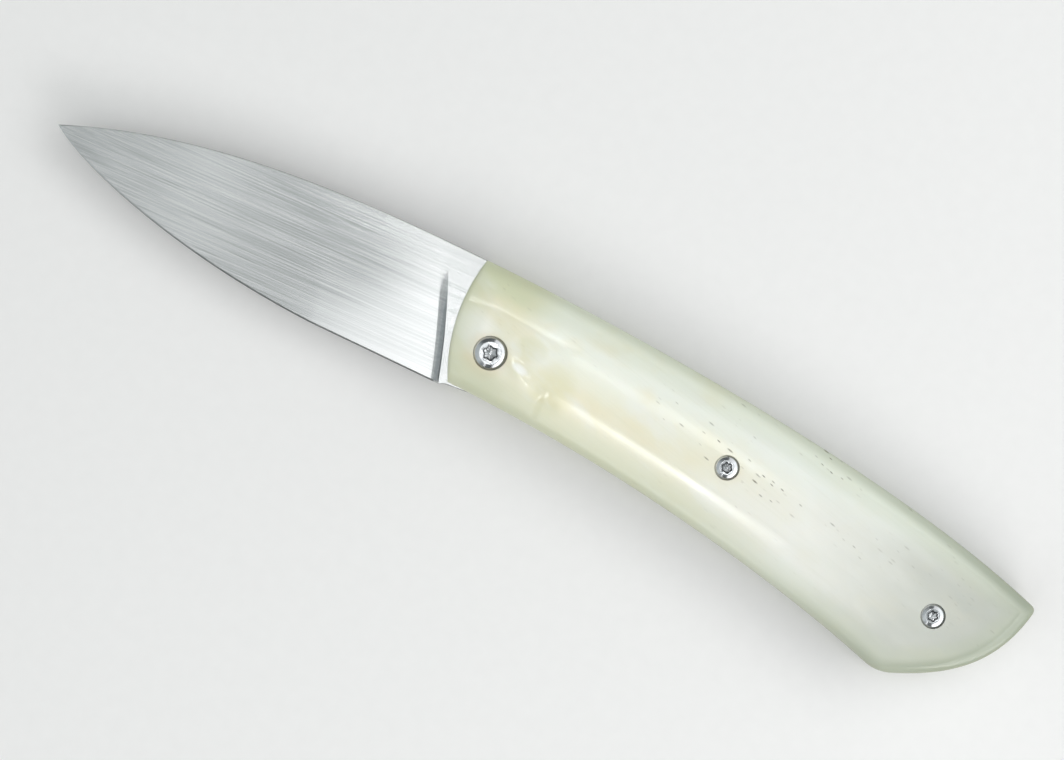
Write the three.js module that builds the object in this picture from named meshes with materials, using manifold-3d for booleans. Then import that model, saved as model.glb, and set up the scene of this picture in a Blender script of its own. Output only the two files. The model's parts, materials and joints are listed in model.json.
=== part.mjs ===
// A folding pocket knife with a backspring, drawn open and lying on its right side.
// Everything is drawn round the blade's pivot, in millimetres: X runs towards the
// handle's tail, Y towards its back and Z from the right side to the left. At the end
// the knife is moved so that the origin lies under the middle of its bounding box.
import * as THREE from "three";
import { mergeVertices } from "three/addons/utils/BufferGeometryUtils.js";
import Module from "manifold-3d";

const wasm = await Module();
wasm.setup();

// Blade, in millimetres and degrees
const tipReach = 78.4; // pivot forward to the point
const tipRise = 2.2; // height of the point above the pivot
const bladeThickness = 3.0;
const bladeBackPull = 24; // how far the back runs on before it bends, at both ends
const bladeBackTipAngle = 203.8; // heading of the back where it reaches the point
const edgeHeelReach = 5.36; // pivot forward to the heel, where the cutting edge starts
const edgeHeelDrop = 8.1; // depth of the heel below the pivot
const edgeStraight = 22.6; // the straight stretch of the edge, from the heel
const edgeStraightDrop = 0.3; // how far it falls on its way
const edgeBellyAngle = 179; // heading of the edge where its curve starts
const edgeBellyPull = 27; // how far it runs on before that curve
const edgeTipPull = 5.2;
const edgeTipAngle = 141.5; // heading of the edge where it reaches the point
const edgeBevelHeight = 0.45; // the honed bevel along the edge
const edgeBevelThickness = 0.4; // the blade's thickness above that bevel
const edgeBevelMostShare = 0.4; // of the blade's height, where it is low at the point
const edgeThinningHeight = 1.8; // where the blade is lower than this, it thins out too
const plungeTopReach = 13.98; // pivot forward to where the grind starts at the back
const plungeRadius = 1.4; // hollow where the grind runs out into the ricasso, at the heel
const plungeTopRadius = 1.7; // and at the back
const plungeBow = 0.55; // how far that line bends from straight, towards the handle
const plungeKnee = 0.8; // share of the blade's height at which the grind meets its flat
const plungeBlend = 0.3; // share of the grind's length over which bow and knee fade out

// Tang and walk of the blade
const tangFlatHeight = 7.15; // pivot to the two flats that the spring seats on
const tangCornerRise = 0.7; // how far the round tang lifts the spring between them
const tangStepReach = 6.7; // pivot forward to the step in front of the spring
const heelStep = 0.96; // length of the small slope between the closed flat and the heel
const closedAngle = 174; // travel from open to closed
const springSeatGap = 0.02; // between the flats and the spring
const springEndGap = 0.2; // between the step and the spring's front end

// Handle outline
const handleBackHeight = 13.1; // pivot up to the back, which the blade's back continues
const handleBellyDepth = 7.15; // pivot down to the belly at the front end
const handleFrontReach = 7.0; // pivot forward to the front end's corner at the back
const handleFrontBellyReach = 4.1; // and to its corner at the belly
const handleFrontRadius = 29.8; // the front end is an arc that bulges to the blade
const tailBeyondTip = 17.8; // the handle's tail reaches this far past the closed point
const tailRise = 1.9; // height of the tail's upper corner above the pivot
const heelBeforeTip = 0.85; // the tail's lower corner, ahead of the closed point
const heelDrop = 18.4; // its depth below the pivot
const backFrontAngle = 0.6; // heading of the back where it leaves the front end
const backFrontPull = 10.4;
const backTailAngle = -17.5; // heading of the back where it reaches the tail
const backTailPull = 36;
const bellyFrontAngle = -0.1;
const bellyFrontPull = 39.5;
const bellyTailAngle = -18.8;
const bellyTailPull = 8.2;
const tailHeelAngle = 22; // heading of the tail where it leaves its lower corner
const tailHeelPull = 9.7;
const tailTipAngle = 82; // heading of the tail where it reaches its upper corner
const tailTipPull = 12.3;
const heelRounding = 2.6;
const tailRounding = 0.9;

// Scales and liners
const scaleThickness = 3.6; // over the flat land along the middle
const linerThickness = 1.2;
const trimming = 0.5; // rough scale past the outline that trims it

// Relief of the scales' faces. Places are shares: across from the belly to the back, or
// along from the front end to the tail.
const bellyShoulder = 0.355; // the land ends here and the belly's facet starts
const bellyShoulderRise = 0.04; // it climbs this much, between these two places along
const bellyRiseStart = 0.4;
const bellyRiseEnd = 0.75;
const backShoulder = 0.7; // the land ends here and the back's facet starts
const backShoulderFall = 0.13; // it drops this much just behind the front end
const frontBlendStart = 0.1; // crisp and soft facets change over between these two
const frontBlendEnd = 0.25;
const frontShoulder = 0.2; // the ramp to the front end starts here
const tailShoulder = 0.66;
const bellyFacetFall = 0.7; // how far each facet or ramp falls, in millimetres
const backFacetFall = 0.75;
const frontFall = 0.8;
const tailFall = 0.8;
const crispPower = 1.3; // a low power bends at once, a high one gently
const softPower = 2.0;
const rampPower = 1.5;
const sideRoundingReach = 2.4; // the rounded edge along the belly and the back
const sideRoundingFall = 0.85;
const frontRoundingReach = 0.8;
const frontRoundingFall = 0.2;
const tailRoundingReach = 2.2;
const tailRoundingFall = 0.7;
const roundingPower = 2.4;

// Backspring
const springFlexDepth = 3.9; // back of the handle to the springy stretch's inner side
const springReliefRun = 1.6; // length of the hollow's rise behind the seat
const springReliefBend = 0.4; // how far along it the rise bends
const springHeelGap = 0.25; // end of the seat to the closed blade's heel
const springPinReach = 36; // pivot back to the spring's pin
const springPinDepth = 2.9; // and down from the handle's back
const springShoulder = 7; // the springy stretch ends this far ahead of the pin
const springBoss = 2.8; // and the full depth starts this far ahead of it
const closedEdgeGap = 1.5; // closed edge to the spring's inner side
const closedTipGap = 1.0; // closed point to the tail block
const springPinRadius = 1.0;

// Pivot, screws and barrels
const washerThickness = 0.2;
const washerWidth = 2.6;
const runningGap = 0.02; // blade to washer, each side
const turningFit = 0.05; // radial, between pieces that turn on each other
const seatedFit = 0.04; // radial, between pieces that are held still
const threadGap = 0.05; // radial, screw in its barrel
const pivotBarrelWall = 0.45;
const pivotBushingWall = 0.75;
const pivotShankRadius = 1.5;
const pivotHeadRadius = 2.7;
const pivotHeadHeight = 1.6;
const pivotDriveRadius = 1.25;
const pivotScrewGrip = 2.4; // length of screw in the barrel
const smallShankRadius = 1.0;
const smallHeadRadius = 1.95;
const smallHeadHeight = 1.3;
const smallDriveRadius = 0.88;
const tailBarrelWall = 0.75;
const tailScrewGrip = 2.2;
const tailScrewBeyondTip = 3.4; // past the closed point, along the handle
const tailScrewDrop = 6.34; // and below the pivot
const centreScrewReach = 41.9;
const centreScrewRise = 0.33;
const centreScrewEndGap = 0.2; // the screw's end to the liner's inner face
const headRecess = 0.2; // the scale's surface to the top of each head
const headSideGap = 0.12; // round each head in its counterbore
const holeGap = 0.12; // round each shank in its scale
const driveDepth = 0.9; // depth of the six-lobed socket
const driveLobes = 6;
const driveLobeDepth = 0.1; // of its radius, each way
const headFlatShare = 0.68; // of a head's radius, the flat ring round the socket
const headShoulderShare = 0.95; // of its radius, where the dome bends down
const headRimShare = 0.3; // of its height, the straight rim under the dome
const shankChamferShare = 0.2; // of the shank's radius

// Fineness of the curves
const roundSides = 32;
const arcSteps = 12;
const backSteps = 18;
const bellySteps = 18;
const tailSteps = 12;
const frontSteps = 10;
const cornerSteps = 4;
const heightSteps = 40; // halvings in search of a curve's height
const shareSteps = 12; // rounds in search of a point's place on the scale
const facetSteps = 8; // rows from an edge to its shoulder
const landSteps = 3;
const rampSteps = 8; // columns from an end to its shoulder
const alongSteps = 12;
const crowding = 1.5; // how much closer together they are by the edges and the ends
const tangBackSteps = 2;
const hollowRibs = 6;
const grindRibs = 18;
const ribSteps = 6;
const stubShrink = 0.2; // the blade's grind ends in a smaller stub inside the ricasso
const stubReach = 0.5;
const springSteps = 8;
const domeSteps = 2;
const lobeSteps = 24;
const fuzz = 1e-4; // rounding of merged corners
const over = 1; // cutters run this far past what they cut

// Sizes that follow from the ones above
const tipSwing = Math.hypot(tipReach, tipRise);
const slotWidth = bladeThickness + 2 * (washerThickness + runningGap);
const linerInside = slotWidth / 2;
const linerOutside = linerInside + linerThickness;
const scaleOutside = linerOutside + scaleThickness;
const pivotBoreRadius = pivotShankRadius + threadGap;
const pivotBarrelRadius = pivotBoreRadius + pivotBarrelWall;
const bushingRadius = pivotBarrelRadius + turningFit + pivotBushingWall;
const bladeHoleRadius = bushingRadius + turningFit;
const tailBoreRadius = smallShankRadius + threadGap;
const tailBarrelRadius = tailBoreRadius + tailBarrelWall;
const tangCornerRadius = tangFlatHeight + tangCornerRise;
const flatReach = Math.sqrt(tangCornerRadius ** 2 - tangFlatHeight ** 2);

const point = (x, y) => new THREE.Vector2(x, y);
const origin = point(0, 0);
const radians = THREE.MathUtils.degToRad;

const tip = point(-tipReach, tipRise);
const edgeHeel = point(-edgeHeelReach, -edgeHeelDrop);
const edgeCurveStart = edgeHeel.clone().add(point(-edgeStraight, -edgeStraightDrop));
const tailScrewAt = point(tipSwing + tailScrewBeyondTip, -tailScrewDrop);
const centreScrewAt = point(centreScrewReach, centreScrewRise);

// A vector of a given length and heading.
function heading(length, angle) {
  return point(length * Math.cos(radians(angle)), length * Math.sin(radians(angle)));
}

// Where a point of the open blade lies once the blade is closed.
function whenClosed(open) {
  return open.clone().rotateAround(origin, radians(closedAngle));
}

// A smooth line that leaves and reaches its ends at given headings.
function sweep(start, startAngle, startPull, end, endAngle, endPull) {
  return new THREE.CubicBezierCurve(
    start,
    start.clone().add(heading(startPull, startAngle)),
    end.clone().sub(heading(endPull, endAngle)),
    end,
  );
}

// An arc that bulges to the left of the way from start to end.
function arcBetween(start, end, radius) {
  const chord = end.clone().sub(start);
  const toCentre = Math.sqrt(radius ** 2 - (chord.length() / 2) ** 2);
  const right = point(chord.y, -chord.x).normalize();
  const centre = start.clone().lerp(end, 0.5).addScaledVector(right, toCentre);
  const startAngle = Math.atan2(start.y - centre.y, start.x - centre.x);
  const endAngle = Math.atan2(end.y - centre.y, end.x - centre.x);
  return new THREE.EllipseCurve(
    centre.x, centre.y, radius, radius, startAngle, endAngle, true);
}

// The four edges of the handle: belly and back run to the tail, front and tail run up.
const frontLow = point(-handleFrontBellyReach, -handleBellyDepth);
const frontHigh = point(-handleFrontReach, handleBackHeight);
const tailLow = point(tipSwing - heelBeforeTip, -heelDrop);
const tailHigh = point(tipSwing + tailBeyondTip, tailRise);
const bellyEdge = sweep(
  frontLow, bellyFrontAngle, bellyFrontPull, tailLow, bellyTailAngle, bellyTailPull);
const backEdge = sweep(
  frontHigh, backFrontAngle, backFrontPull, tailHigh, backTailAngle, backTailPull);
const frontEdge = arcBetween(frontLow, frontHigh, handleFrontRadius);
const tailEdge = sweep(
  tailLow, tailHeelAngle, tailHeelPull, tailHigh, tailTipAngle, tailTipPull);

// The blade's back and the curved stretch of its edge, both running to the point.
const bladeBack = sweep(
  point(-tangStepReach, handleBackHeight), 180, bladeBackPull,
  tip, bladeBackTipAngle, bladeBackPull);
const bladeBelly = sweep(
  edgeCurveStart, edgeBellyAngle, edgeBellyPull, tip, edgeTipAngle, edgeTipPull);
const plungeTop = point(-plungeTopReach, heightAt(bladeBack, -plungeTopReach));

// Evenly spaced points of a curve between two lengths along it.
function sampled(curve, steps, from = 0, to = curve.getLength()) {
  const whole = curve.getLength();
  const points = [];
  for (let i = 0; i <= steps; i++) {
    points.push(curve.getPointAt((from + ((to - from) * i) / steps) / whole));
  }
  return points;
}

// The point at a share of a curve's length, which runs on straight past its ends.
function along(curve, share) {
  const inside = THREE.MathUtils.clamp(share, 0, 1);
  const beyond = (share - inside) * curve.getLength();
  return curve.getPointAt(inside).addScaledVector(curve.getTangentAt(inside), beyond);
}

// The height of a curve at x, for a curve that runs steadily along X.
function heightAt(curve, x) {
  const rising = curve.getPoint(1).x > curve.getPoint(0).x;
  let low = 0;
  let high = 1;
  for (let i = 0; i < heightSteps; i++) {
    const middle = (low + high) / 2;
    const before = curve.getPoint(middle).x < x === rising;
    if (before) low = middle;
    else high = middle;
  }
  return curve.getPoint(low).y;
}

// The cutting edge's height at x.
function edgeAt(x) {
  if (x < edgeCurveStart.x) return heightAt(bladeBelly, x);
  const share = (edgeHeel.x - x) / edgeStraight;
  return THREE.MathUtils.lerp(edgeHeel.y, edgeCurveStart.y, share);
}

// A rounded corner between the end of one sampled edge and the start of the next.
function cornerBetween(before, corner, after) {
  const round = new THREE.QuadraticBezierCurve(before, corner, after);
  return round.getPoints(cornerSteps).slice(1, -1);
}

function handleOutline() {
  const belly = sampled(bellyEdge, bellySteps, 0, bellyEdge.getLength() - heelRounding);
  const tail = sampled(
    tailEdge, tailSteps, heelRounding, tailEdge.getLength() - tailRounding);
  const back = sampled(backEdge, backSteps, 0, backEdge.getLength() - tailRounding);
  const front = sampled(frontEdge, frontSteps);
  back.reverse();
  front.reverse();
  return new THREE.Shape([
    ...belly,
    ...cornerBetween(belly.at(-1), tailLow, tail[0]),
    ...tail,
    ...cornerBetween(tail.at(-1), tailHigh, back[0]),
    ...back,
    ...front.slice(1, -1),
  ]);
}

// A closed three.js geometry as a solid that can be cut and joined.
function solid(geometry) {
  const bare = geometry.clone();
  bare.deleteAttribute("normal");
  bare.deleteAttribute("uv");
  const merged = mergeVertices(bare, fuzz);
  const corners = merged.index.array;
  const triangles = [];
  for (let i = 0; i < corners.length; i += 3) {
    const [a, b, c] = corners.slice(i, i + 3);
    if (a !== b && b !== c && c !== a) triangles.push(a, b, c);
  }
  const mesh = new wasm.Mesh({
    numProp: 3,
    vertProperties: new Float32Array(merged.attributes.position.array),
    triVerts: new Uint32Array(triangles),
  });
  return new wasm.Manifold(mesh);
}

// A solid back as a three.js geometry.
function geometryOf(body) {
  const { vertProperties, triVerts } = body.getMesh();
  const geometry = new THREE.BufferGeometry();
  geometry.setAttribute("position", new THREE.BufferAttribute(vertProperties, 3));
  geometry.setIndex(new THREE.BufferAttribute(triVerts, 1));
  const faceted = geometry.toNonIndexed();
  faceted.computeVertexNormals();
  return faceted;
}

// A flat plate between two heights, from its outline.
function plate(shape, low, high) {
  const geometry = new THREE.ExtrudeGeometry(shape, {
    depth: high - low,
    bevelEnabled: false,
    curveSegments: arcSteps,
  });
  return solid(geometry.translate(0, 0, low));
}

// An upright rod between two heights.
function rod(radius, low, high, at = origin) {
  const geometry = new THREE.CylinderGeometry(radius, radius, high - low, roundSides);
  return solid(geometry.rotateX(Math.PI / 2).translate(at.x, at.y, (low + high) / 2));
}

function ring(outer, inner, low, high, at = origin) {
  return rod(outer, low, high, at).subtract(rod(inner, low - over, high + over, at));
}

// A surface between closed rings with the same number of points, capped at both ends.
function loft(rings) {
  const count = rings[0].length;
  const positions = rings.flat().flatMap((corner) => corner.toArray());
  const faces = [];
  for (let i = 0; i + 1 < rings.length; i++) {
    for (let j = 0; j < count; j++) {
      const a = i * count + j;
      const b = i * count + ((j + 1) % count);
      faces.push(a, b, a + count, b, b + count, a + count);
    }
  }
  const last = (rings.length - 1) * count;
  for (let j = 1; j + 1 < count; j++) {
    faces.push(0, j + 1, j, last, last + j, last + j + 1);
  }
  const geometry = new THREE.BufferGeometry();
  geometry.setAttribute("position", new THREE.Float32BufferAttribute(positions, 3));
  geometry.setIndex(faces);
  return solid(geometry);
}

// The tang and the ricasso as one plate of full thickness, without its hole.
// It is round between the two flats, which the spring seats on open and closed.
function tangOutline() {
  const openCorner = point(flatReach, tangFlatHeight);
  const closedTurn = -radians(closedAngle);
  const closedCorner = point(-flatReach, tangFlatHeight).rotateAround(origin, closedTurn);
  const slopeEnd = closedFlatEnd();
  const shape = new THREE.Shape();
  shape.moveTo(edgeHeel.x, edgeHeel.y);
  shape.lineTo(slopeEnd.x, slopeEnd.y);
  shape.lineTo(closedCorner.x, closedCorner.y);
  shape.absarc(0, 0, tangCornerRadius, closedCorner.angle(), openCorner.angle(), false);
  shape.lineTo(-tangStepReach, tangFlatHeight);
  shape.lineTo(-tangStepReach, handleBackHeight);
  for (let i = 1; i < tangBackSteps; i++) {
    const x = THREE.MathUtils.lerp(-tangStepReach, plungeTop.x, i / tangBackSteps);
    shape.lineTo(x, heightAt(bladeBack, x));
  }
  const plungeLine = ribFace(edgeHeel.x, plungeTop.x, 0, 0).reverse();
  for (const { x, y } of plungeLine) shape.lineTo(x, y);
  return shape;
}

// Where the closed flat ends, a short slope ahead of the heel.
function closedFlatEnd() {
  const turn = -radians(closedAngle);
  const heelOnFlat = whenClosed(edgeHeel).x - heelStep;
  return point(heelOnFlat, tangFlatHeight).rotateAround(origin, turn);
}

// One rib up the left face of the ground blade, from the honed bevel to the back. In the
// hollow by the plunge line, where out is below 1, it curves up to the full thickness.
// Further along towards the point the ribs lose their bow and their knee.
function ribFace(lowX, highX, out, further) {
  const low = point(lowX, edgeAt(lowX));
  const high = point(highX, heightAt(bladeBack, highX));
  const height = high.distanceTo(low);
  const full = bladeThickness / 2;
  const fine = (edgeBevelThickness / 2) * Math.min(1, height / edgeThinningHeight);
  const widening = (full - fine) * (height / edgeHeel.distanceTo(plungeTop));
  const hollow = 1 - Math.sqrt(1 - (1 - out) ** 2);
  const nearPlunge = 1 - THREE.MathUtils.smoothstep(further, 0, plungeBlend);
  const bevelShare = Math.min(edgeBevelHeight / Math.max(height, fuzz), edgeBevelMostShare);
  const shares = [];
  for (let i = 0; i <= ribSteps; i++) {
    shares.push(THREE.MathUtils.lerp(bevelShare, plungeKnee, i / ribSteps));
  }
  shares.push(1);
  return shares.map((share) => {
    const at = low.clone().lerp(high, share);
    const bow = 4 * share * (1 - share) * plungeBow * nearPlunge;
    const kneed = THREE.MathUtils.lerp(share, Math.min(1, share / plungeKnee), nearPlunge);
    const half = THREE.MathUtils.lerp(fine + widening * kneed, full, hollow);
    return new THREE.Vector3(at.x + bow, at.y, half);
  });
}

// The same rib as a ring round the blade: the edge, up the left face and down the right.
function rib(lowX, highX, out, further) {
  const face = ribFace(lowX, highX, out, further);
  const otherFace = face.map(({ x, y, z }) => new THREE.Vector3(x, y, -z)).reverse();
  return [new THREE.Vector3(lowX, edgeAt(lowX), 0), ...face, ...otherFace];
}

// The ground part of the blade, from a stub inside the ricasso to the point.
function groundBlade() {
  const rings = [];
  for (let i = 0; i <= hollowRibs; i++) {
    const out = 1 - Math.cos((i / hollowRibs) * (Math.PI / 2));
    const highX = plungeTop.x - plungeTopRadius * out;
    rings.push(rib(edgeHeel.x - plungeRadius * out, highX, out, 0));
  }
  for (let i = 1; i <= grindRibs; i++) {
    const further = i / grindRibs;
    const lowX = THREE.MathUtils.lerp(edgeHeel.x - plungeRadius, tip.x, further);
    const highX = THREE.MathUtils.lerp(plungeTop.x - plungeTopRadius, tip.x, further);
    rings.push(rib(lowX, highX, 1, further));
  }
  const middle = new THREE.Vector3();
  for (const corner of rings[0]) middle.addScaledVector(corner, 1 / rings[0].length);
  const stub = rings[0].map((corner) => {
    const inwards = corner.clone().lerp(middle, stubShrink);
    return inwards.add(new THREE.Vector3(stubReach, 0, 0));
  });
  return loft([stub, ...rings]);
}

function blade() {
  const tang = plate(tangOutline(), -bladeThickness / 2, bladeThickness / 2);
  const hole = rod(bladeHoleRadius, -bladeThickness, bladeThickness);
  return tang.add(groundBlade()).subtract(hole);
}

// The space between the liners that the blade and its walk need. What is left of the
// handle's outline is the backspring: a seat over the tang, a springy stretch up to the
// pin, and a tail block that clears the closed point.
function bladeSpace() {
  const seatY = tangFlatHeight + springSeatGap;
  const front = -tangStepReach + springEndGap;
  const seatEnd = whenClosed(closedFlatEnd()).x - springHeelGap;
  const flexStart = seatEnd + springReliefRun;
  const flexEnd = springPinReach - springShoulder;
  const rearStart = springPinReach - springBoss;
  const flexAt = (x) => heightAt(backEdge, x) - springFlexDepth;
  const beyond = tipSwing + tailBeyondTip;
  const shape = new THREE.Shape();
  shape.moveTo(front, beyond);
  shape.lineTo(front, seatY);
  shape.lineTo(seatEnd, seatY);
  const rise = seatEnd + springReliefBend;
  shape.quadraticCurveTo(rise, flexAt(flexStart), flexStart, flexAt(flexStart));
  for (let i = 1; i <= springSteps; i++) {
    const x = THREE.MathUtils.lerp(flexStart, flexEnd, i / springSteps);
    shape.lineTo(x, flexAt(x));
  }
  const rear = [];
  for (let i = 0; i <= springSteps; i++) {
    const x = THREE.MathUtils.lerp(-rearStart, tip.x, i / springSteps);
    rear.push(whenClosed(point(x, edgeAt(x))).add(point(0, closedEdgeGap)));
  }
  const bend = (flexEnd + rear[0].x) / 2;
  shape.bezierCurveTo(bend, flexAt(flexEnd), bend, rear[0].y, rear[0].x, rear[0].y);
  for (const corner of rear.slice(1)) shape.lineTo(corner.x, corner.y);
  const clear = tipSwing + closedTipGap;
  const arcEnd = -Math.asin((heelDrop + 2 * over) / clear);
  shape.absarc(0, 0, clear, radians(closedAngle) - Math.PI, arcEnd, true);
  shape.lineTo(clear, -beyond);
  shape.lineTo(-beyond, -beyond);
  shape.lineTo(-beyond, beyond);
  return shape;
}

const springPinAt = point(
  springPinReach, heightAt(backEdge, springPinReach) - springPinDepth);

function backspring() {
  const space = plate(bladeSpace(), -linerInside - over, linerInside + over);
  const pinHole = rod(springPinRadius + seatedFit, -slotWidth, slotWidth, springPinAt);
  const barrelHole = rod(tailBarrelRadius + seatedFit, -slotWidth, slotWidth, tailScrewAt);
  return plate(handleOutline(), -linerInside, linerInside)
    .subtract(space)
    .subtract(pinHole)
    .subtract(barrelHole);
}

function liner() {
  const low = linerInside - over;
  const high = linerOutside + over;
  return plate(handleOutline(), linerInside, linerOutside)
    .subtract(rod(pivotBarrelRadius + seatedFit, low, high))
    .subtract(rod(smallShankRadius + threadGap, low, high, centreScrewAt))
    .subtract(rod(tailBarrelRadius + seatedFit, low, high, tailScrewAt))
    .subtract(rod(springPinRadius + seatedFit, low, high, springPinAt));
}

// A point of the handle's side: u runs from the front end to the tail and v from the
// belly to the back, a little past 0 and 1 too.
function sidePoint(u, v) {
  const across = along(bellyEdge, u).lerp(along(backEdge, u), v);
  const lengthways = along(frontEdge, v).lerp(along(tailEdge, v), u);
  const lowCorner = frontLow.clone().lerp(tailLow, u);
  const highCorner = frontHigh.clone().lerp(tailHigh, u);
  return across.add(lengthways).sub(lowCorner.lerp(highCorner, v));
}

// The two shares of a point on the handle's side, found step by step.
function sharesAt(at) {
  let u = 0;
  let v = 0;
  for (let i = 0; i < shareSteps; i++) {
    const miss = at.clone().sub(sidePoint(u, v));
    const lengthways = sidePoint(1, v).sub(sidePoint(0, v));
    const across = sidePoint(u, 1).sub(sidePoint(u, 0));
    const area = lengthways.cross(across);
    u += miss.cross(across) / area;
    v += lengthways.cross(miss) / area;
  }
  return [u, v];
}

// How far a value has gone on the way between two others, held between 0 and 1.
function shareOfWay(value, start, end) {
  return THREE.MathUtils.clamp((value - start) / (end - start), 0, 1);
}

// Where across the land ends on both sides, at a share of the way along.
function shouldersAt(u) {
  const { smoothstep } = THREE.MathUtils;
  return [
    bellyShoulder + bellyShoulderRise * smoothstep(u, bellyRiseStart, bellyRiseEnd),
    backShoulder - backShoulderFall * smoothstep(u, frontBlendStart, frontBlendEnd),
  ];
}

// The scale's thickness there: a flat land along the middle, a facet to the belly and one
// to the back, a ramp to the front end and one to the tail, and rounded edges.
function sideThickness(u, v) {
  const [lowShoulder, highShoulder] = shouldersAt(u);
  const behind = THREE.MathUtils.smoothstep(u, frontBlendStart, frontBlendEnd);
  const bellyPower = THREE.MathUtils.lerp(softPower, crispPower, behind);
  const backPower = THREE.MathUtils.lerp(crispPower, softPower, behind);
  const facets = bellyFacetFall * shareOfWay(v, lowShoulder, 0) ** bellyPower
    + backFacetFall * shareOfWay(v, highShoulder, 1) ** backPower
    + frontFall * shareOfWay(u, frontShoulder, 0) ** rampPower
    + tailFall * shareOfWay(u, tailShoulder, 1) ** rampPower;
  const width = along(bellyEdge, u).distanceTo(along(backEdge, u));
  const length = sidePoint(0, v).distanceTo(sidePoint(1, v));
  const roundings = [
    [v * width, sideRoundingReach, sideRoundingFall],
    [(1 - v) * width, sideRoundingReach, sideRoundingFall],
    [u * length, frontRoundingReach, frontRoundingFall],
    [(1 - u) * length, tailRoundingReach, tailRoundingFall],
  ].map(([inwards, reach, fall]) => fall * shareOfWay(inwards, reach, 0) ** roundingPower);
  return scaleThickness - facets - Math.hypot(...roundings);
}

// Shares from just below 0 to just above 1, closer together towards both ends, with one
// on each of the two shoulders.
function stations(past, [low, high], endSteps, middleSteps) {
  const { lerp } = THREE.MathUtils;
  const shares = [];
  for (let i = 0; i < endSteps; i++) {
    shares.push(lerp(-past, low, (i / endSteps) ** crowding));
  }
  for (let i = 0; i <= middleSteps; i++) {
    shares.push(lerp(low, high, i / middleSteps));
  }
  for (let i = endSteps - 1; i >= 0; i--) {
    shares.push(lerp(1 + past, high, (i / endSteps) ** crowding));
  }
  return shares;
}

// A rough scale with its rounded face, standing out past the handle's outline and its
// own flat inner side.
function scaleBlank() {
  const pastEnds = trimming / bellyEdge.getLength();
  const pastSides = trimming / frontEdge.getLength();
  const us = stations(pastEnds, [frontShoulder, tailShoulder], rampSteps, alongSteps);
  const positions = [];
  for (const raised of [false, true]) {
    for (const u of us) {
      for (const v of stations(pastSides, shouldersAt(u), facetSteps, landSteps)) {
        const { x, y } = sidePoint(u, v);
        positions.push(x, y, linerOutside + (raised ? sideThickness(u, v) : -over));
      }
    }
  }
  const wide = 2 * facetSteps + landSteps + 1;
  const layer = us.length * wide;
  const faces = [];
  const quad = (a, b, c, d) => faces.push(a, b, c, a, c, d);
  for (let i = 0; i + 1 < us.length; i++) {
    for (let j = 0; j + 1 < wide; j++) {
      const a = i * wide + j;
      quad(a, a + 1, a + wide + 1, a + wide);
      quad(layer + a, layer + a + wide, layer + a + wide + 1, layer + a + 1);
    }
    const low = i * wide;
    const high = low + wide - 1;
    quad(low, low + wide, layer + low + wide, layer + low);
    quad(high + wide, high, layer + high, layer + high + wide);
  }
  for (let j = 0; j + 1 < wide; j++) {
    const end = layer - wide + j;
    quad(j + 1, j, layer + j, layer + j + 1);
    quad(end, end + 1, layer + end + 1, layer + end);
  }
  const geometry = new THREE.BufferGeometry();
  geometry.setAttribute("position", new THREE.Float32BufferAttribute(positions, 3));
  geometry.setIndex(faces);
  return solid(geometry);
}

// The height of a head's seat in the scale, which lets the head down below the surface
// round it.
function seatHeight(at, headHeight) {
  return linerOutside + sideThickness(...sharesAt(at)) - headRecess - headHeight;
}

// A screw's way through the scale, with the counterbore for its head.
function screwHole(at, shankRadius, headRadius, headHeight) {
  const top = scaleOutside + over;
  const shankHole = rod(shankRadius + holeGap, linerOutside - over, top, at);
  return shankHole.add(
    rod(headRadius + headSideGap, seatHeight(at, headHeight), top, at));
}

function scale() {
  const trim = plate(handleOutline(), linerOutside, scaleOutside + over);
  return scaleBlank()
    .intersect(trim)
    .subtract(screwHole(origin, pivotShankRadius, pivotHeadRadius, pivotHeadHeight))
    .subtract(screwHole(centreScrewAt, smallShankRadius, smallHeadRadius, smallHeadHeight))
    .subtract(screwHole(tailScrewAt, smallShankRadius, smallHeadRadius, smallHeadHeight));
}

// A button-head screw whose head stands on z = 0: a dome round a flat ring with a
// six-lobed socket, and a shank that points down.
function screw(shankRadius, shankLength, headRadius, headHeight, driveRadius) {
  const chamfer = shankChamferShare * shankRadius;
  const dome = new THREE.QuadraticBezierCurve(
    point(headRadius, headRimShare * headHeight),
    point(headShoulderShare * headRadius, headHeight),
    point(headFlatShare * headRadius, headHeight),
  );
  const profile = [
    point(0, -shankLength),
    point(shankRadius - chamfer, -shankLength),
    point(shankRadius, chamfer - shankLength),
    point(shankRadius, 0),
    point(headRadius, 0),
    ...dome.getPoints(domeSteps),
    point(0, headHeight),
  ];
  const body = new THREE.LatheGeometry(profile, roundSides).rotateX(Math.PI / 2);
  const lobes = [];
  for (let i = 0; i < lobeSteps; i++) {
    const angle = (i / lobeSteps) * 2 * Math.PI;
    const wave = driveLobeDepth * (Math.cos(driveLobes * angle) - 1);
    const radius = driveRadius * (1 + wave);
    lobes.push(point(radius * Math.cos(angle), radius * Math.sin(angle)));
  }
  const socket = plate(new THREE.Shape(lobes), headHeight - driveDepth, headHeight + over);
  return solid(body).subtract(socket);
}

function finish(color, roughness, metalness) {
  return new THREE.MeshStandardMaterial({ color, roughness, metalness });
}

const satinSteel = () => finish(0xc3cacb, 0.35, 1);
const linerSteel = () => finish(0x9a9fa1, 0.4, 1);
const polishedSteel = () => finish(0xd5d8da, 0.15, 1);
const bronze = () => finish(0xa9824c, 0.4, 1);
const bone = () => finish(0xe9e7d6, 0.3, 0);

const knife = new THREE.Group();

function add(name, body, material) {
  const mesh = new THREE.Mesh(geometryOf(body), material);
  mesh.name = name;
  knife.add(mesh);
  return mesh;
}

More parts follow.
